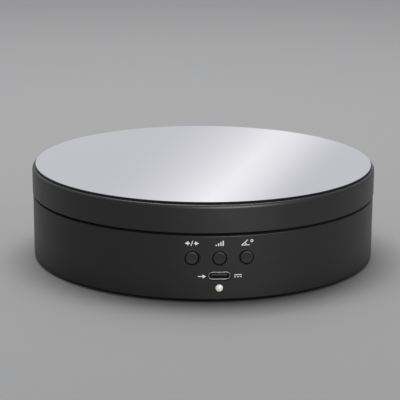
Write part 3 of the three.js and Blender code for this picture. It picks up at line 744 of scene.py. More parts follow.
class Finishes:
    """Every finish on the stand, each one built when it is first asked for."""

    # Painted light: the drum and the tray's skirt are the same black plastic. Their two copies differ
    # in sheen and tone to paint how light falls on each: the skirt's stronger sheen is a painted
    # highlight, and the drum's lighter tone is painted light on its sides.
    shell = MouldedPlastic("shell_plastic_painted_light", (0.0118, 0.0119, 0.0122), 0.41, specular=0.31)
    skirt = MouldedPlastic("skirt_plastic_painted_sheen", (0.0090, 0.0091, 0.0094), 0.41, specular=0.45)
    cover = MouldedPlastic(
        "cover_plastic", (0.014, 0.014, 0.0145), 0.55, grain=0.5 * MM, depth=0.008 * MM
    )
    button = MouldedPlastic(
        "button_plastic", (0.0105, 0.0106, 0.011), 0.42, 0.25 * MM, depth=0.002 * MM, specular=0.3
    )
    dark = MouldedPlastic("moulded_black", (0.008, 0.008, 0.009), 0.5)
    epoxy = MouldedPlastic("chip_epoxy", (0.012, 0.012, 0.014), 0.6, grain=0.15 * MM)
    acetal = MouldedPlastic("acetal", (0.76, 0.74, 0.68), 0.38, variety=0.03)
    nylon = MouldedPlastic("plug_nylon", (0.7, 0.69, 0.64), 0.42, variety=0.03)
    rubber = MouldedPlastic("foot_rubber", (0.011,) * 3, 0.82, grain=0.6 * MM, depth=0.02 * MM)
    lead = MouldedPlastic("lead_jacket", (0.28, 0.28, 0.29), 0.5, variety=0.05)
    tape = MouldedPlastic("foam_tape", (0.66, 0.64, 0.58), 0.85, 0.3 * MM, depth=0.04 * MM)
    board = MouldedPlastic("solder_mask", (0.012, 0.095, 0.035), 0.3, 0.9 * MM, depth=0.003 * MM)
    magnet = MouldedPlastic(
        "sintered_magnet", (0.05, 0.046, 0.043), 0.62, grain=0.3 * MM, depth=0.01 * MM
    )
    ink = MouldedPlastic("print_ink", (0.56, 0.565, 0.57), 0.55, 0.12 * MM, variety=0.06)
    # Painted shade: the mirror's ground edge is given a near-black colour that stands in for the shade
    # in the narrow step between the mirror and the tray's rim.
    ground_edge_painted_shade = MouldedPlastic(
        "ground_glass_edge_painted_shade", (0.016, 0.019, 0.018), 0.5, 0.2 * MM, specular=0.35
    )
    mirror = SilveredGlass("silvered_glass", (0.87, 0.875, 0.895), 0.03)
    arris = Metal("polished_arris", (0.28, 0.285, 0.285), 0.35)
    lens = MilkyLens("milky_lens", (0.5, 0.52, 0.39), 0.4, glow=0.27)
    inlet = Metal("drawn_steel", (0.36, 0.365, 0.37), 0.36, lines=Grain.INWARD)
    contact = Metal("contact_gold", (0.6, 0.48, 0.29), 0.3, lines=Grain.INWARD)
    screw = Metal("plated_screw", (0.5, 0.5, 0.51), 0.3)
    race = Metal("ground_race", (0.55, 0.56, 0.57), 0.22)
    ball = Metal("polished_ball", (0.68, 0.69, 0.7), 0.1)
    brass = Metal("machined_brass", (0.56, 0.42, 0.18), 0.26, lines=Grain.UPWARD)
    zinc = Metal("zinc_sheet", (0.46, 0.47, 0.49), 0.36, lines=Grain.ACROSS)
    shaft = Metal("ground_shaft", (0.52, 0.52, 0.53), 0.2, lines=Grain.ACROSS)
    copper = Metal("enamelled_copper", (0.5, 0.2, 0.09), 0.33, Grain.UPWARD, depth=0.03 * MM)

    built: dict[str, Material] = {}

    @classmethod
    def get(cls, finish: Finish) -> Material:
        """The material of a finish."""
        if finish.name not in cls.built:
            cls.built[finish.name] = finish.material()
        return cls.built[finish.name]


def dress(piece: Object, *finishes: Finish) -> None:
    """Gives a piece its finishes, in the order of its material slots."""
    piece.data.materials.clear()
    for finish in finishes:
        piece.data.materials.append(Finishes.get(finish))


def place(piece: Object, finish: Finish, body: str, slot: str, *stands_for: str) -> Object:
    """Dresses a finished piece and hangs it on its body.

    Args:
        piece: the piece, with its place in its mesh.
        finish: what it is made of.
        body: the body that it rides on.
        slot: the name of a material slot, which is not used.
        *stands_for: the plain solids that it is shown in place of.

    Returns:
        The piece.
    """
    if not piece.data.materials:
        dress(piece, finish)
    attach(piece, body)
    if stands_for:
        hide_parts(*stands_for)
    log.info("%s: %d faces, on %s", piece.name, len(piece.data.polygons), body)
    return piece


def middle(node: str) -> Vector:
    """The middle of a plain solid's box."""
    low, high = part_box(node)
    return (low + high) / 2


# ---- Base ----


@dataclass
class Housing:
    """The drum: wall, deck and labyrinth lip in one moulding, closed below by a cover on rubber feet.

    Heights are measured from the housing's lower edge.
    """

    seam: float = 1.05 * MM
    wall: float = 2.4 * MM
    lip_outer: float = 71.0 * MM
    lip_inner: float = 69.2 * MM
    deck_top: float = 26.0 * MM
    deck_under: float = 22.8 * MM
    race_floor: float = 25.0 * MM
    race_seat_width: float = 8.4 * MM
    race_play: float = 0.2 * MM
    shaft_hole: float = 4.8 * MM
    rebate: float = 1.0 * MM
    rebate_top: float = 2.45 * MM
    post_foot: float = 5.2 * MM
    pilot_top: float = 15.0 * MM
    boss_top: float = 28.6 * MM
    boss_pilot_top: float = 27.8 * MM
    pad_top: float = 5.1 * MM
    head_seat: float = 3.2 * MM
    lead_post_top: float = 6.0 * MM
    edge: float = 0.4 * MM
    hole_chamfer: float = 0.18 * MM
    button_hole: float = 2.9 * MM
    inlet_hole: Point = (9.6 * MM, 3.8 * MM)
    lamp_gap: float = 0.2 * MM
    button_pad: Point = (15.0 * MM, 4.2 * MM)
    pad_face: float = -70.4 * MM
    post: float = 3.6 * MM
    board_post: float = 2.6 * MM
    board_gap: float = 0.1 * MM
    cover_pilot: float = 1.65 * MM
    motor_pilot: float = 1.6 * MM
    board_pilot: float = 1.05 * MM
    board_pilot_end: float = -69.2 * MM
    plate: float = 1.8 * MM
    plate_hole: float = 2.0 * MM
    plate_edge: float = 0.25 * MM
    rim_play: float = 0.3 * MM
    rim_width: float = 1.4 * MM
    rim_rise: float = 2.0 * MM
    rings: tuple[float, ...] = (24 * MM, 30 * MM, 36 * MM)
    groove: float = 0.35 * MM
    groove_width: float = 0.9 * MM
    screw_pad: float = 5.2 * MM
    head_well: float = 3.4 * MM
    shank_hole: float = 1.8 * MM
    foot_pocket: Point = (6.3 * MM, 0.8 * MM)
    lead_post: Point = (4.6 * MM, -30 * MM)
    lead_post_radius: float = 1.0 * MM
    notch: float = 4.0 * MM
    foot_rounding: float = 0.28 * MM
    head: float = 1.7 * MM
    shank: float = 1.45 * MM
    pitch: float = 0.9 * MM
    cross: tuple[float, float, float] = (1.75 * MM, 0.4 * MM, 0.85 * MM)
    radius: float = field(init=False)
    foot: float = field(init=False)
    top: float = field(init=False)
    lip_top: float = field(init=False)

    def __post_init__(self) -> None:
        """Reads the drum's outer sizes off its plain solid."""
        low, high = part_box("base_shell")
        self.radius = high.x
        self.foot = low.z
        self.lip_top = high.z
        self.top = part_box("platter_tray")[0].z - self.seam

    def build(self) -> None:
        """Builds the shell, its cover, the feet and the screws."""
        self.shell()
        self.cover()
        self.feet()
        self.screws()

    def shell(self) -> Object:
        """Models the drum's one-piece shell.

        Returns:
            The shell.
        """
        inner = self.radius - self.wall
        seat_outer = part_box("lower_race")[1].x + self.race_play
        seat_inner = seat_outer - self.race_seat_width
        profile = [
            (self.radius, self.foot),
            (self.radius, self.top),
            (self.lip_outer, self.top),
            (self.lip_outer, self.lip_top),
            (self.lip_inner, self.lip_top),
            (self.lip_inner, up(self.deck_top)),
            (seat_outer, up(self.deck_top)),
            (seat_outer, up(self.race_floor)),
            (seat_inner, up(self.race_floor)),
            (seat_inner, up(self.deck_top)),
            (self.shaft_hole, up(self.deck_top)),
            (self.shaft_hole, up(self.deck_under)),
            (inner, up(self.deck_under)),
            (inner, up(self.rebate_top)),
            (inner + self.rebate, up(self.rebate_top)),
            (inner + self.rebate, self.foot),
            (self.radius, self.foot),
        ]
        piece = soften(turned("housing_shell", profile, FINE), self.edge)
        self.add_supports(piece, inner)
        self.open_wall(piece)
        smooth(piece)
        true_wall(piece, self.radius)
        # The drum takes the copy of the black plastic whose lighter tone is painted light on its sides.
        return place(piece, Finishes.shell, "base", "shell_black", "base_shell")

    def add_supports(self, piece: Object, inner: float) -> None:
        """Joins the posts, bosses and pads that hold the insides to the shell.

        Args:
            piece: the shell.
            inner: the wall's inner radius.
        """
        posts, pilots = [], []
        foot, under = up(self.post_foot), up(self.deck_under)
        for number in range(1, 5):
            at = middle(f"cover_screw_{number}").xy
            posts.append(rod("post", self.post, foot, under + SINK, at, sides=PLAIN))
            top = up(self.pilot_top)
            pilots.append(rod("pilot", self.cover_pilot, foot - OVERRUN, top, at, sides=COARSE))
        for number in (1, 2):
            at = middle(f"motor_screw_{number}").xy
            foot = up(self.deck_top) - SINK
            posts.append(rod("boss", self.post, foot, up(self.boss_top), at, sides=PLAIN))
            top = up(self.boss_pilot_top)
            pilots.append(rod("pilot", self.motor_pilot, under - OVERRUN, top, at, sides=COARSE))
        half, rise = self.button_pad
        level = middle("speed_button").z
        pad = box("pad", (-half, -inner - SINK, level - rise), (half, self.pad_face, level + rise))
        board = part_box("control_board")[0].y
        for number in (1, 2):
            at = middle(f"board_screw_{number}")
            way = {"at": (at.x, at.z), "axis": Axis.FORWARD}
            front, back = -math.sqrt(inner**2 - at.x**2) - SINK, board - self.board_gap
            posts.append(rod("post", self.board_post, front, back, **way, sides=PLAIN))
            front, back = self.board_pilot_end, board + OVERRUN
            pilots.append(rod("pilot", self.board_pilot, front, back, **way, sides=COARSE))
        combine(piece, [pad, *posts], "UNION")
        combine(piece, pilots, "DIFFERENCE")

    def open_wall(self, piece: Object) -> None:
        """Cuts the button holes, the inlet and the lamp's hole, each with a small chamfer at its mouth.

        Args:
            piece: the shell.
        """
        for use in ControlPanel.uses:
            at = middle(f"{use}_button")
            self.cut_round(piece, self.button_hole, math.sqrt(self.radius**2 - at.x**2), at)
        lens = ControlPanel.lens_radius + self.lamp_gap
        self.cut_round(piece, lens, self.radius, middle("power_lamp"))
        at = middle("usb_shell")
        cuts = []
        for grown, back in (
            (0.0, self.pad_face + 2 * OVERRUN),
            (2 * self.hole_chamfer, self.hole_chamfer - self.radius),
        ):
            width, height = (size + grown for size in self.inlet_hole)
            front = -self.radius - OVERRUN
            cuts.append(bar_with_round_ends("inlet_cut", width, height, front, back, (at.x, at.z)))
        combine(piece, cuts, "DIFFERENCE")

    def cut_round(self, piece: Object, radius: float, face: float, at: Vector) -> None:
        """Cuts one round hole through the front of the wall, with a chamfered mouth.

        Args:
            piece: the shell.
            radius: the hole's radius.
            face: how far the wall's face lies from the axis there.
            at: the hole's middle.
        """
        chamfer = self.hole_chamfer
        outside = self.radius + OVERRUN
        profile = [
            (radius, -self.pad_face - OVERRUN),
            (radius, face - chamfer),
            (radius + (outside - face + chamfer), outside),
        ]
        hole = turned("hole", profile, NEAT, Axis.FORWARD, (at.x, 0, at.z))
        combine(piece, [hole], "DIFFERENCE")

    def cover(self) -> Object:
        """Models the floor of the stand, with its rim, screw wells, foot pockets and moulded rings.

        Returns:
            The cover.
        """
        low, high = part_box("bottom_cover")
        under, plate = low.z, low.z + self.plate
        rim_outer = self.radius - self.wall - self.rim_play
        rim_inner = rim_outer - self.rim_width
        rim_top = plate + self.rim_rise
        groove, width = self.groove, self.groove_width
        profile = [(self.plate_hole, under)]
        for ring in self.rings:
            profile += [
                (ring, under),
                (ring + groove, under + groove),
                (ring + width, under + groove),
                (ring + width + groove, under),
            ]
        profile += [
            (high.x, under),
            (high.x, plate),
            (rim_outer, plate),
            (rim_outer, rim_top),
            (rim_inner, rim_top),
            (rim_inner, plate),
            (self.plate_hole, plate),
        ]
        piece = soften(turned("floor_cover", profile, FINE), self.plate_edge, 2)
        pads, wells = [], []
        pad_top = up(self.pad_top)
        pocket, deep = self.foot_pocket
        for number in range(1, 5):
            at, foot = (middle(f"{part}_{number}").xy for part in ("cover_screw", "foot"))
            pads.append(rod("screw_pad", self.screw_pad, plate - SINK, pad_top, at, sides=64))
            for radius, start, end, spot, sides in (
                (self.head_well, under - OVERRUN, up(self.head_seat), at, 64),
                (self.shank_hole, under, pad_top + OVERRUN, at, COARSE),
                (pocket, under - OVERRUN, under + deep, foot, 64),
            ):
                wells.append(rod("well", radius, start, end, spot, sides=sides))
        across, ahead = self.lead_post
        radius, top = self.lead_post_radius, up(self.lead_post_top)
        for at in ((-across, ahead), (across, ahead)):
            pads.append(rod("lead_post", radius, plate - SINK, top, at))
        notch = self.notch
        corner = (notch, -rim_inner + notch, rim_top + OVERRUN)
        wells.append(box("lamp_notch", (-notch, -rim_outer - OVERRUN, plate), corner))
        combine(piece, pads, "UNION")
        combine(piece, wells, "DIFFERENCE")
        smooth(piece)
        return place(piece, Finishes.cover, "base", "cover_black", "bottom_cover")

    def feet(self) -> None:
        """Models one rubber foot, with a dished sole, and sets four of them."""
        low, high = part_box("foot_1")
        radius = (high.x - low.x) / 2
        profile = [
            (radius * 0.62, 0.3 * MM),
            (radius * 0.74, low.z),
            (radius, low.z),
            (radius, high.z),
            (radius * 0.5, high.z),
        ]
        first = turned("rubber_foot_1", profile, NEAT, at=(*middle("foot_1").xy, 0))
        soften(first, self.foot_rounding, 4, 20)
        self.set_four(first, "rubber_foot", Finishes.rubber, "foot_rubber", "foot")

    def set_four(self, first: Object, name: str, finish: Finish, slot: str, node: str) -> None:
        """Copies a piece to the other three quarters, and places all four.

        Args:
            first: the piece, in its place.
            name: what the four are called, before their number.
            finish: what they are made of.
            slot: their material slot.
            node: the plain solids that they are shown in place of, without their number.
        """
        smooth(first)
        turns = {number: PITCH_OF_FOUR * (number - 1) for number in range(2, 5)}
        copies = [copied(first, f"{name}_{number}", turn) for number, turn in turns.items()]
        for number, piece in enumerate((first, *copies), 1):
            place(piece, finish, "base", slot, f"{node}_{number}")

    def screws(self) -> None:
        """Models one cover screw, with a cross recess and a thread, and sets four of them."""
        low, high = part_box("cover_screw_1")
        head_top = low.z + self.head
        radius = (high.x - low.x) / 2
        shank, pitch = self.shank, self.pitch
        profile = [
            (radius * 0.55, low.z),
            (radius * 0.86, low.z + 0.16 * MM),
            (radius, low.z + 0.6 * MM),
            (radius, head_top),
            (shank, head_top),
        ]
        turn = head_top + 0.6 * MM
        while turn + pitch < high.z - 1.2 * MM:
            for grown, rise in ((1.0, 0.0), (1.1, 0.3), (1.0, 0.6)):
                profile.append((shank * grown, turn + pitch * rise))
            turn += pitch
        profile += [(shank, high.z - 1 * MM), (shank * 0.35, high.z - 0.1 * MM)]
        at = middle("cover_screw_1")
        first = turned("cover_screw_head_1", profile, 64, at=(*at.xy, 0))
        long, short, depth = self.cross
        slots = [
            box("slot", (at.x - a, at.y - b, low.z - OVERRUN), (at.x + a, at.y + b, low.z + depth))
            for a, b in ((long, short), (short, long))
        ]
        combine(first, slots, "DIFFERENCE")
        self.set_four(first, "cover_screw_head", Finishes.screw, "screw_steel", "cover_screw")


# ---- Controls ----


@dataclass
class ControlPanel:
    """What shows through the front of the wall: three buttons, the inlet and the lamp."""

    uses = ("direction", "speed", "angle")
    lens_radius = 1.53 * MM

    wall_radius: float
    cap_radius: float = 2.6 * MM
    cap_edge: float = 0.35 * MM
    cap_dish: float = 0.08 * MM
    cap_set_back: float = 0.12 * MM
    flange: float = 1.0 * MM
    sheet: float = 0.3 * MM
    sheet_edge: float = 0.09 * MM
    tongue: Point = (3.35 * MM, 0.35 * MM)
    tongue_edge: float = 0.16 * MM
    core_front: float = -69.5 * MM
    contact: Point = (0.5 * MM, 0.13 * MM)
    dome: float = 0.85 * MM
    dome_steps: int = 10
    collar: Point = (69.3 * MM, 70.3 * MM)
    leads: Point = (0.8 * MM, 0.25 * MM)

    def build(self) -> None:
        """Builds the buttons, the inlet and the lamp."""
        for use in self.uses:
            self.button(use)
        self.inlet()
        self.lamp()

    def button(self, use: str) -> Object:
        """Models a push button, with a softly dished face that follows the wall.

        Args:
            use: what the button does.

        Returns:
            The button.
        """
        node = f"{use}_button"
        low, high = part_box(node)
        at = middle(node)
        flange_radius = (high.x - low.x) / 2
        face = math.sqrt(self.wall_radius**2 - at.x**2) - self.cap_set_back
        edge = self.cap_edge
        profile = [
            (flange_radius, -high.y),
            (flange_radius, -high.y + self.flange),
            (self.cap_radius, -high.y + self.flange),
            (self.cap_radius, face - edge),
            (self.cap_radius - edge * 0.3, face - edge * 0.3),
            (self.cap_radius - edge, face),
            (self.cap_radius * 0.72, face - self.cap_dish * 0.35),
            (self.cap_radius * 0.4, face - self.cap_dish * 0.8),
            (self.cap_radius * 0.08, face - self.cap_dish),
        ]
        piece = turned(f"{use}_cap", profile, NEAT, Axis.FORWARD, (at.x, 0, at.z))
        smooth(piece, 42)
        return place(piece, Finishes.button, f"button_{use}", "button_black", node)

    def inlet(self) -> None:
        """Models the inlet's drawn steel shell, its moulded core and tongue, and the gold contacts."""
        low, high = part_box("usb_shell")
        middle_line = middle("usb_shell")
        at = (middle_line.x, middle_line.z)
        width, height = high.x - low.x, high.z - low.z
        shell = bar_with_round_ends("inlet_shell", width, height, low.y, high.y, at)
        width, height = width - 2 * self.sheet, height - 2 * self.sheet
        bore = bar_with_round_ends("bore", width, height, low.y - OVERRUN, high.y + OVERRUN, at)
        combine(shell, [bore], "DIFFERENCE")
        soften(shell, self.sheet_edge, 3, 60)
        smooth(shell)
        place(shell, Finishes.inlet, "base", "inlet_steel", "usb_shell")

        low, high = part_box("usb_tongue")
        half, thick = self.tongue
        front, level = self.core_front, middle_line.z
        tongue = box("inlet_tongue", (-half, low.y, level - thick), (half, front + MM, level + thick))
        soften(tongue, self.tongue_edge, 3, 60)
        core = bar_with_round_ends("core", high.x - low.x, high.z - low.z, front, high.y, at)
        combine(tongue, [core], "UNION")
        smooth(tongue)
        place(tongue, Finishes.dark, "base", "inlet_core", "usb_tongue")
        self.contacts(level, thick, low.y + 0.5 * MM, front - 0.2 * MM)

    def contacts(self, level: float, thick: float, front: float, back: float) -> Object:
        """Models the two rows of gold contacts on the inlet's tongue, as one piece.

        Args:
            level: how high the tongue lies.
            thick: half the tongue's thickness.
            front: where the contacts start in Y.
            back: where they end.

        Returns:
            The contacts.
        """
        pads = []
        pitch, half = self.contact
        for number in range(-5, 7):
            x = (number - 0.5) * pitch
            for side in (-1, 1):
                z = level + side * (thick + HAIR)
                pads.append(box("contact", (x - half, front, z - HAIR), (x + half, back, z + HAIR)))
        made = joined(pads, "inlet_contacts")
        return place(made, Finishes.contact, "base", "hub_brass")

    def lamp(self) -> Object:
        """Models the lamp's domed lens with its collar and leads.

        Returns:
            The lens.
        """
        low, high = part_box("power_lamp")
        at = middle("power_lamp")
        radius, dome = self.lens_radius, self.dome
        foot = -low.y - dome
        collar = (high.x - low.x) / 2
        back, front = self.collar
        profile = [(collar, back), (collar, front), (radius, front), (radius, foot)]
        for step in range(1, self.dome_steps):
            angle = step / self.dome_steps * math.pi / 2
            profile.append((radius * math.cos(angle), foot + dome * math.sin(angle)))
        lens = turned("lamp_lens", profile, NEAT, Axis.FORWARD, (at.x, 0, at.z))
        apart, half = self.leads
        leads = [
            box("lead", (x - half, -back - 0.2 * MM, at.z - half), (x + half, high.y, at.z + half))
            for x in (-apart, apart)
        ]
        combine(lens, leads, "UNION")
        smooth(lens, 40)
        return place(lens, Finishes.lens, "base", "lamp_lens", "power_lamp")


@dataclass
class WallPrint:
    """The white marks printed on the wall: plain pictograms above the buttons and beside the inlet."""

    wall_radius: float
    stroke: float = 0.3 * MM
    height: float = 2.1 * MM
    above_button: float = 6.3 * MM
    left_of_inlet: float = 6.95 * MM
    right_of_inlet: float = 7.45 * MM
    below_inlet: float = 0.15 * MM
    thickness: float = 0.03 * MM

    def build(self) -> None:
        """Prints the five marks."""
        level = middle("speed_button").z + self.above_button
        marks = {
            "direction": self.direction_mark,
            "speed": self.speed_mark,
            "angle": self.angle_mark,
        }
        for use, draw in marks.items():
            self.print_mark(f"mark_{use}", draw(), middle(f"{use}_button").x, level)
        inlet = middle("usb_shell")
        level = inlet.z - self.below_inlet
        self.print_mark("mark_input", self.input_mark(), inlet.x - self.left_of_inlet, level)
        self.print_mark("mark_supply", self.supply_mark(), inlet.x + self.right_of_inlet, level)

    def line(self, start: Point, end: Point, width: float | None = None) -> Object:
        """A straight stroke, laid flat with x across and y up.

        Args:
            start: where it starts.
            end: where it ends.
            width: its width, if it isn't the usual one.

        Returns:
            The stroke.
        """
        run = Vector(end) - Vector(start)
        deselect()
        bpy.ops.mesh.primitive_plane_add(size=1)
        made = bpy.context.object
        made.location.xy = (Vector(start) + Vector(end)) / 2
        made.scale = (run.length, width or self.stroke, 1)
        made.rotation_euler.z = math.atan2(run.y, run.x)
        settle(made)
        edit_all(made, "FACE")
        bpy.ops.mesh.subdivide(number_cuts=3)
        bpy.ops.object.mode_set(mode="OBJECT")
        return made

    def head(self, tip: Point, size: float, turn: float) -> Object:
        """An arrow's head.

        Args:
            tip: its point.
            size: its length.
            turn: the way that it points, in degrees from +x.

        Returns:
            The head.
        """
        radius = size / 1.5
        angle = math.radians(turn)
        centre = (tip[0] - radius * math.cos(angle), tip[1] - radius * math.sin(angle), 0)
        deselect()
        bpy.ops.mesh.primitive_circle_add(vertices=3, radius=radius, fill_type="NGON", location=centre)
        made = bpy.context.object
        made.rotation_euler.z = angle - math.pi / 2
        return settle(made)

    def arc(self, centre: Point, radius: float, start: float, end: float) -> Object:
        """A curved stroke.

        Args:
            centre: the arc's centre.
            radius: the radius of its middle line.
            start: where it starts, in degrees.
            end: where it ends.

        Returns:
            The stroke.
        """
        inner, outer = radius - self.stroke / 2, radius + self.stroke / 2
        deselect()
        bpy.ops.mesh.primitive_circle_add(vertices=72, radius=outer, fill_type="NOTHING")
        made = bpy.context.object
        edit_all(made)
        inward = inner / outer
        bpy.ops.mesh.extrude_region_move()
        bpy.ops.transform.resize(value=(inward, inward, 1), center_override=(0, 0, 0))
        low, high = math.radians(start), math.radians(end)
        if pick(made, "FACE", lambda at, _: not low <= math.atan2(at.y, at.x) % math.tau <= high):
            bpy.ops.mesh.delete(type="FACE")
        bpy.ops.object.mode_set(mode="OBJECT")
        made.location = (*centre, 0)
        return settle(made)

    def direction_mark(self) -> list[Object]:
        """Two arrows, left and right, either side of a slash."""
        half = self.height / 2
        reach = 2.8 * MM
        size = 1.5 * MM
        tail = 0.75 * MM
        strokes = [self.line((-0.32 * MM, -half), (0.32 * MM, half))]
        for side, turn in ((-1, 180), (1, 0)):
            strokes.append(self.head((side * reach, 0), size, turn))
            strokes.append(self.line((side * tail, 0), (side * (reach - size), 0), self.stroke * 1.2))
        return strokes

    def speed_mark(self) -> list[Object]:
        """Four bars that rise from left to right."""
        width = 0.52 * MM
        pitch = 0.92 * MM
        strokes = []
        for number in range(4):
            x = (number - 1.5) * pitch
            top = -self.height / 2 + self.height * (number + 1) / 4
            strokes.append(self.line((x, -self.height / 2), (x, top), width))
        return strokes

    def angle_mark(self) -> list[Object]:
        """Two arms with an arc between them, and the small ring of a degree."""
        half = self.height / 2
        corner = (-2.3 * MM, -half)
        return [
            self.line(corner, (1.0 * MM, -half)),
            self.line(corner, (0.3 * MM, half)),
            self.arc(corner, 1.9 * MM, 2, 34),
            self.arc((1.9 * MM, half - 0.5 * MM), 0.45 * MM, 0, 360),
        ]

    def input_mark(self) -> list[Object]:
        """An arrow that points into the inlet."""
        return [
            self.line((-1.6 * MM, 0), (0.4 * MM, 0), self.stroke * 1.2),
            self.head((1.6 * MM, 0), 1.4 * MM, 0),
        ]

    def supply_mark(self) -> list[Object]:
        """A long line over three short ones, the usual sign for direct current."""
        reach = 1.5 * MM
        gap = 0.42 * MM
        dash = 0.7 * MM
        strokes = [self.line((-reach, gap), (reach, gap), self.stroke * 1.1)]
        for number in (-1, 0, 1):
            x = number * 1.15 * MM
            strokes.append(self.line((x - dash / 2, -gap), (x + dash / 2, -gap), self.stroke * 1.1))
        return strokes

    def print_mark(self, name: str, strokes: list[Object], x: float, z: float) -> Object:
        """Joins a mark's strokes, wraps them round the wall and gives the ink its thickness.

        Args:
            name: the mark's name.
            strokes: its strokes, laid flat.
            x: how far round the wall the mark's middle lies, measured straight across.
            z: how high it lies.

        Returns:
            The printed mark.
        """
        mark = joined(strokes, name)
        mark.rotation_euler = Axis.FORWARD.value
        mark.location = (x, -self.wall_radius - OVERRUN, z)
        settle(mark)
        former = rod("former", self.wall_radius, z - self.height, z + self.height, sides=4 * FINE)
        wrap = {"target": former, "wrap_method": "PROJECT", "use_project_y": True, "offset": HAIR}
        modified(mark, "SHRINKWRAP", **wrap)
        bpy.data.objects.remove(former)
        pick(mark, "FACE", lambda _, normal: normal.y > 0)
        bpy.ops.mesh.flip_normals()
        modified(mark, "SOLIDIFY", thickness=self.thickness, offset=1.0)
        return place(mark, Finishes.ink, "base", PRINT_SLOT)


# ---- Platter ----


@dataclass
class Platter:
    """The turning top: a skirted tray with a rounded shoulder, and the mirror that lies in it.

    Heights are measured from the housing's lower edge.
    """

    wall: float = 2.6 * MM
    mirror_play: float = 0.15 * MM
    shoulder: float = 1.6 * MM
    shoulder_steps: int = 12
    skirt_edge: float = 0.35 * MM
    tray_floor: float = 37.75 * MM
    tray_under: float = 35.3 * MM
    boss_foot: float = 30.0 * MM
    boss_radius: float = 9.0 * MM
    flange_seat: float = 36.25 * MM
    race_play: float = 0.2 * MM
    race_seat_width: float = 8.4 * MM
    arris: float = 0.12 * MM
    rim_flat: float = 0.12 * MM
    race_gap: float = 0.05 * MM
    lip: float = 1.0 * MM
    lip_rise: float = 0.9 * MM
    recess_play: float = 0.3 * MM
    shaft_room: float = 4.0 * MM
    ribs: int = 8
    rib: float = 0.8 * MM
    socket: float = 6.35 * MM
    radius: float = field(init=False)
    foot: float = field(init=False)
    rim: float = field(init=False)
    mirror_radius: float = field(init=False)
    top: float = field(init=False)

    def __post_init__(self) -> None:
        """Reads the platter's outer sizes off its plain solids."""
        low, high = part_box("platter_tray")
        self.radius = high.x
        self.foot = low.z
        self.rim = high.z
        self.mirror_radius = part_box("mirror_disc")[1].x
        self.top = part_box("mirror_disc")[1].z

    def build(self) -> None:
        """Builds the tray and the mirror."""
        self.tray()
        self.mirror()

    def tray(self) -> Object:
        """Models the tray, with its shoulder, skirt, race seat, hub boss and ribs.

        Returns:
            The tray.
        """
        skirt_inner = self.radius - self.wall
        rim_inner = self.mirror_radius + self.mirror_play
        race_low, race_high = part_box("upper_race")
        seat_face = race_high.z + self.race_gap
        seat_outer = race_high.x + self.race_play
        seat_inner = seat_outer - self.race_seat_width
        lip_foot = race_low.z + self.lip_rise
        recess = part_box("drive_hub")[1].x + self.recess_play
        boss_foot, under = up(self.boss_foot), up(self.tray_under)
        floor, flange_seat = up(self.tray_floor), up(self.flange_seat)
        profile = [
            (self.shaft_room, boss_foot),
            (self.boss_radius, boss_foot),
            (self.boss_radius, under),
            (seat_inner - self.lip, under),
            (seat_inner - self.lip, lip_foot),
            (seat_inner, lip_foot),
            (seat_inner, seat_face),
            (seat_outer, seat_face),
            (seat_outer, under),
            (skirt_inner, under),
            (skirt_inner, self.foot),
            (self.radius - self.skirt_edge, self.foot),
            (self.radius - self.skirt_edge * 0.3, self.foot + self.skirt_edge * 0.3),
            (self.radius, self.foot + self.skirt_edge),
            *self.shoulder_points(rim_inner),
            (rim_inner, self.rim),
            (rim_inner, floor),
            (recess, floor),
            (recess, flange_seat),
            (self.shaft_room, flange_seat),
            (self.shaft_room, boss_foot),
        ]
        piece = turned("platter_tray_shell", profile, FINE)
        ribs = []
        for number in range(self.ribs):
            start = (self.boss_radius - SINK, -self.rib, seat_face + self.race_gap)
            rib = box("rib", start, (skirt_inner + SINK, self.rib, under + SINK))
            rib.rotation_euler.z = math.radians((number + 0.5) * 360 / self.ribs)
            ribs.append(settle(rib))
        combine(piece, ribs, "UNION")
        socket = rod("socket", self.socket, boss_foot - OVERRUN, floor + OVERRUN, sides=6)
        socket.rotation_euler.z = math.radians(30)
        combine(piece, [settle(socket)], "DIFFERENCE")
        smooth(piece)
        true_wall(piece, self.radius)
        # The skirt takes the copy of the black plastic whose stronger sheen is a painted highlight.
        return place(piece, Finishes.skirt, "platter", "shell_black", "platter_tray")

    def shoulder_points(self, rim_inner: float) -> list[Point]:
        """The rounded shoulder between the wall and the rim.

        Args:
            rim_inner: the rim's inner radius.

        Returns:
            The profile's points, from the wall up to the rim.
        """
        across = self.radius - rim_inner - self.rim_flat
        points = []
        for step in range(self.shoulder_steps + 1):
            angle = step / self.shoulder_steps * math.pi / 2
            height = self.rim - self.shoulder + self.shoulder * math.sin(angle)
            points.append((self.radius - across + across * math.cos(angle), height))
        return points

    def mirror(self) -> Object:
        """Models the mirror: a disc with a polished arris and a ground edge.

        Returns:
            The mirror.
        """
        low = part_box("mirror_disc")[0].z
        radius, bevel, top = self.mirror_radius, self.arris, self.top
        profile = [
            (radius - bevel, low),
            (radius, low + bevel),
            (radius, (low + top) / 2),
            (radius, top - bevel),
            (radius - bevel * 0.4, top - bevel * 0.4),
            (radius - bevel, top),
        ]
        piece = turned(MIRROR, profile, 2 * FINE)
        smooth(piece, 15)
        # The third finish, the near-black ground edge, is painted shade for the step between the mirror
        # and the tray's rim.
        dress(piece, Finishes.mirror, Finishes.arris, Finishes.ground_edge_painted_shade)
        flat, sloping = 0.99, 0.1
        for face in piece.data.polygons:
            if abs(face.normal.z) > flat:
                face.material_index = 0
            else:
                face.material_index = 1 if face.normal.z > sloping else 2
        return place(piece, Finishes.mirror, "platter", "mirror_silver", "mirror_disc")


# ---- Insides ----


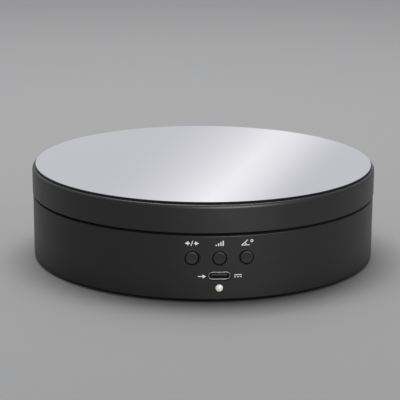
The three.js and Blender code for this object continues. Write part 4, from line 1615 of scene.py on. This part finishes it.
def dress_insides() -> None:
    """Gives every plain solid that stays its finish."""
    screws = tuple(f"{part}_screw_{number}" for part in ("motor", "board") for number in (1, 2))
    wear = {
        Finishes.screw: ("shaft_screw", *screws),
        Finishes.race: ("lower_race", "upper_race"),
        Finishes.ball: tuple(f"ball_{number}" for number in range(1, 13)),
        Finishes.acetal: ("ball_cage", *(f"train_gear_{n}" for n in (1, 2, 3)), "output_gear"),
        Finishes.brass: ("drive_hub",),
        Finishes.zinc: ("motor_can", "motor_plate", "train_plate"),
        Finishes.shaft: ("output_shaft",),
        Finishes.copper: ("stator_coil",),
        Finishes.magnet: ("rotor",),
        Finishes.tape: ("mirror_tape",),
        Finishes.board: ("control_board",),
        Finishes.epoxy: ("controller_chip", *(f"{use}_switch" for use in ControlPanel.uses)),
        Finishes.button: tuple(f"{use}_plunger" for use in ControlPanel.uses),
        Finishes.nylon: ("lead_plug",),
        Finishes.lead: ("motor_lead",),
    }
    for finish, nodes in wear.items():
        for node in nodes:
            dress(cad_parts[node], finish)
        log.info("%s: %s", finish.name, ", ".join(nodes))


# ---- Studio ----


@dataclass
class Softbox:
    """A rectangular soft light that looks at the stand."""

    name: str
    azimuth: float
    elevation: float
    distance: float
    size: Point
    power: float
    kept_off: tuple[str, ...] = (MIRROR,)

    def build(self, target: Vector) -> None:
        """Hangs the light, flagged so that it doesn't fall on some of the pieces.

        Args:
            target: what it looks at.
        """
        lamp = bpy.data.lights.new(self.name, "AREA")
        lamp.shape = "RECTANGLE"
        lamp.size, lamp.size_y = self.size
        lamp.energy = self.power
        holder = bpy.data.objects.new(self.name, lamp)
        holder.visible_camera = False
        bpy.context.scene.collection.objects.link(holder)
        away = direction(self.azimuth, self.elevation)
        holder.location = target + away * self.distance
        holder.rotation_mode = "QUATERNION"
        holder.rotation_quaternion = (-away).to_track_quat("-Z", "Y")
        flag = bpy.data.collections.new("flag")
        for name in self.kept_off:
            flag.objects.link(bpy.data.objects[name])
        for link in flag.collection_objects:
            link.light_linking.link_state = "EXCLUDE"
        holder.light_linking.receiver_collection = flag


def direction(azimuth: float, elevation: float) -> Vector:
    """The way from the stand to a place round it.

    Args:
        azimuth: in degrees from the front, growing towards +X.
        elevation: in degrees above the horizon.

    Returns:
        A unit vector.
    """
    turn, rise = math.radians(azimuth), math.radians(elevation)
    return Vector((math.sin(turn) * math.cos(rise), -math.cos(turn) * math.cos(rise), math.sin(rise)))


@dataclass
class Strip:
    """A soft slanting strip of light in the surround, which the mirror shows.

    It runs between two directions, and fades more slowly on one side than on the other.
    """

    ends: tuple[Point, Point] = ((172.2, 12.1), (174.5, 14.4))
    gain: Colour = (0.395, 0.38, 0.375)
    wide: float = 3.5
    narrow: float = 2.45
    rise: tuple[float, float] = (8.0, 15.0)
    least: float = 0.5
    reach: float = 30.0

    def mask(self, graph: Graph, view: NodeSocket) -> NodeSocket:
        """Builds the strip's mask.

        Args:
            graph: the world's graph.
            view: the direction that is looked at.

        Returns:
            The mask, 1 along the strip's middle and 0 away from it.
        """
        first, second = (direction(azimuth, elevation) for azimuth, elevation in self.ends)
        offset = along(graph, view, first.cross(second).normalized())
        wide, narrow, low, high = (
            math.sin(math.radians(angle)) for angle in (self.wide, self.narrow, *self.rise)
        )
        soft = graph.sum("POWER", graph.ramp(offset, -wide, 0.0), 2.0)
        strip = graph.sum("MINIMUM", soft, graph.ramp(offset, narrow, 0.0, way="SMOOTHSTEP"))
        faded = graph.sum("MULTIPLY", strip, graph.ramp(graph.height(view), low, high, self.least))
        near = facing(graph, view, (first + second).normalized(), self.reach, self.reach / 3)
        return graph.sum("MULTIPLY", faded, near)


def along(graph: Graph, view: NodeSocket, way: Vector) -> NodeSocket:
    """How far a direction goes along another one."""
    return graph.add("VectorMath", {0: view, 1: way}, operation="DOT_PRODUCT").outputs["Value"]


def facing(graph: Graph, view: NodeSocket, centre: Vector, outer: float, inner: float) -> NodeSocket:
    """A mask that is 1 near a direction and fades to 0 away from it.

    Args:
        graph: the world's graph.
        view: the direction that is looked at.
        centre: the direction at the mask's middle.
        outer: the angle from it where the mask is 0, in degrees.
        inner: the angle from it where the mask is 1.

    Returns:
        The mask.
    """
    start, end = (math.cos(math.radians(angle)) for angle in (outer, inner))
    return graph.ramp(along(graph, view, centre), start, end, way="SMOOTHSTEP")


def repeated(graph: Graph, view: NodeSocket, centre: float, step: float) -> NodeSocket:
    """Folds directions round the stand, so that what lies at one azimuth repeats all the way round.

    Args:
        graph: the world's graph.
        view: the direction that is looked at.
        centre: the azimuth that stays where it is, in degrees.
        step: how far apart the copies are.

    Returns:
        The direction, brought within half a step of the centre.
    """
    part = graph.add("SeparateXYZ", {"Vector": view}).outputs
    turn = graph.sum("ARCTAN2", part["X"], graph.sum("MULTIPLY", part["Y"], -1.0))
    first, last = math.radians(centre - step / 2), math.radians(centre + step / 2)
    folded = graph.sum("WRAP", turn, last, first)
    level = graph.sum("COSINE", graph.sum("ARCSINE", part["Z"]))
    x = graph.sum("MULTIPLY", graph.sum("SINE", folded), level)
    away = graph.sum("MULTIPLY", graph.sum("COSINE", folded), level)
    y = graph.sum("MULTIPLY", away, -1.0)
    return graph.add("CombineXYZ", {"X": x, "Y": y, "Z": part["Z"]}).outputs["Vector"]


@dataclass
class Glow:
    """A broad pale patch of the surround, which fades to what lies round it."""

    towards: Point
    colour: Colour
    outer: float
    inner: float


@dataclass
class Studio:
    """A pale floor, a surround that is palest behind the stand, and soft lights."""

    floor_radius: float = 5.0
    floor_colour: Colour = (0.33, 0.33, 0.33)
    front: Colour = (0.12, 0.12, 0.123)
    glows: tuple[Glow, ...] = (
        Glow((88, 34), (0.34, 0.34, 0.36), 66, 12),
        Glow((272, 34), (0.34, 0.34, 0.36), 66, 12),
        Glow((184, 20), (0.586, 0.5866, 0.6207), 70, 26),
    )
    strip: Strip = field(default_factory=Strip)
    strip_centre: float = 173.4
    strip_step: float = 45.0
    lights: tuple[Softbox, ...] = (
        Softbox("overhead_softbox", 186, 77, 1.2, (0.9, 0.6), 12.0),
        Softbox("back_softbox", 178, 55, 1.3, (1.0, 0.6), 2.5),
        Softbox("key_softbox", 16, 20, 1.1, (0.7, 0.55), 12.5, (MIRROR, FLOOR)),
    )

    def build(self) -> None:
        """Builds the floor, the surround and the lights."""
        self.floor()
        self.world()
        target = Vector((0, 0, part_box("base_shell")[1].z))
        for light in self.lights:
            light.build(target)

    def floor(self) -> None:
        """Lays the floor, a wide disc of even pale paper."""
        piece = turned(FLOOR, [(self.floor_radius, -2 * MM), (self.floor_radius, 0.0)], FINE)
        feel = {"grain": 1.2 * MM, "depth": 0.01 * MM, "variety": 0.01, "film": 0.0, "specular": 0.1}
        dress(piece, MouldedPlastic("studio_paper", self.floor_colour, 0.9, **feel))

    def world(self) -> None:
        """Makes the surround, with the ring of slanting strips that the mirror shows."""
        world = bpy.data.worlds.new("studio_surround")
        bpy.context.scene.world = world
        world.use_nodes = True
        graph = Graph(world.node_tree)
        view = graph.add("TexCoord").outputs["Generated"]
        colour = self.front
        for glow in self.glows:
            near = facing(graph, view, direction(*glow.towards), glow.outer, glow.inner)
            colour = graph.between(near, colour, glow.colour)
        ring = repeated(graph, view, self.strip_centre, self.strip_step)
        colour = graph.between(self.strip.mask(graph, ring), colour, self.strip.gain, "ADD")
        light = graph.add("Background", {"Color": colour, "Strength": 1.0})
        graph.add("OutputWorld", {"Surface": light.outputs["Background"]})


@dataclass
class Camera:
    """A long lens a little left of the front, looking down on the stand."""

    azimuth: float = -5.16
    elevation: float = 13.04
    distance: float = 0.66325
    lens: float = 135.33
    aim_across: float = -1.34 * MM
    aim_drop: float = 18.27 * MM
    roll: float = 0.3

    def build(self) -> None:
        """Sets the camera up."""
        top = Vector((0, 0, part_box("mirror_disc")[1].z))
        data = bpy.data.cameras.new("camera")
        data.lens = self.lens
        data.sensor_width = 36.0
        data.clip_start, data.clip_end = 0.01, 20.0
        holder = bpy.data.objects.new("camera", data)
        bpy.context.scene.collection.objects.link(holder)
        holder.location = top + direction(self.azimuth, self.elevation) * self.distance
        turn = math.radians(self.azimuth)
        aim = top + Vector((math.cos(turn), math.sin(turn), 0)) * self.aim_across
        aim.z -= self.aim_drop
        look = (aim - holder.location).to_track_quat("-Z", "Y")
        holder.rotation_mode = "QUATERNION"
        holder.rotation_quaternion = look @ Euler((0, 0, math.radians(self.roll))).to_quaternion()
        bpy.context.scene.camera = holder
        bpy.context.scene.view_settings.view_transform = "Standard"


def main() -> None:
    """Builds the stand, sub-assembly by sub-assembly, and then the studio."""
    logging.basicConfig(level=logging.INFO, format="%(name)s: %(message)s")
    Camera().build()
    housing = Housing()
    housing.build()
    ControlPanel(housing.radius).build()
    WallPrint(housing.radius).build()
    Platter().build()
    dress_insides()
    Studio().build()


if __name__ == "__main__":
    main()
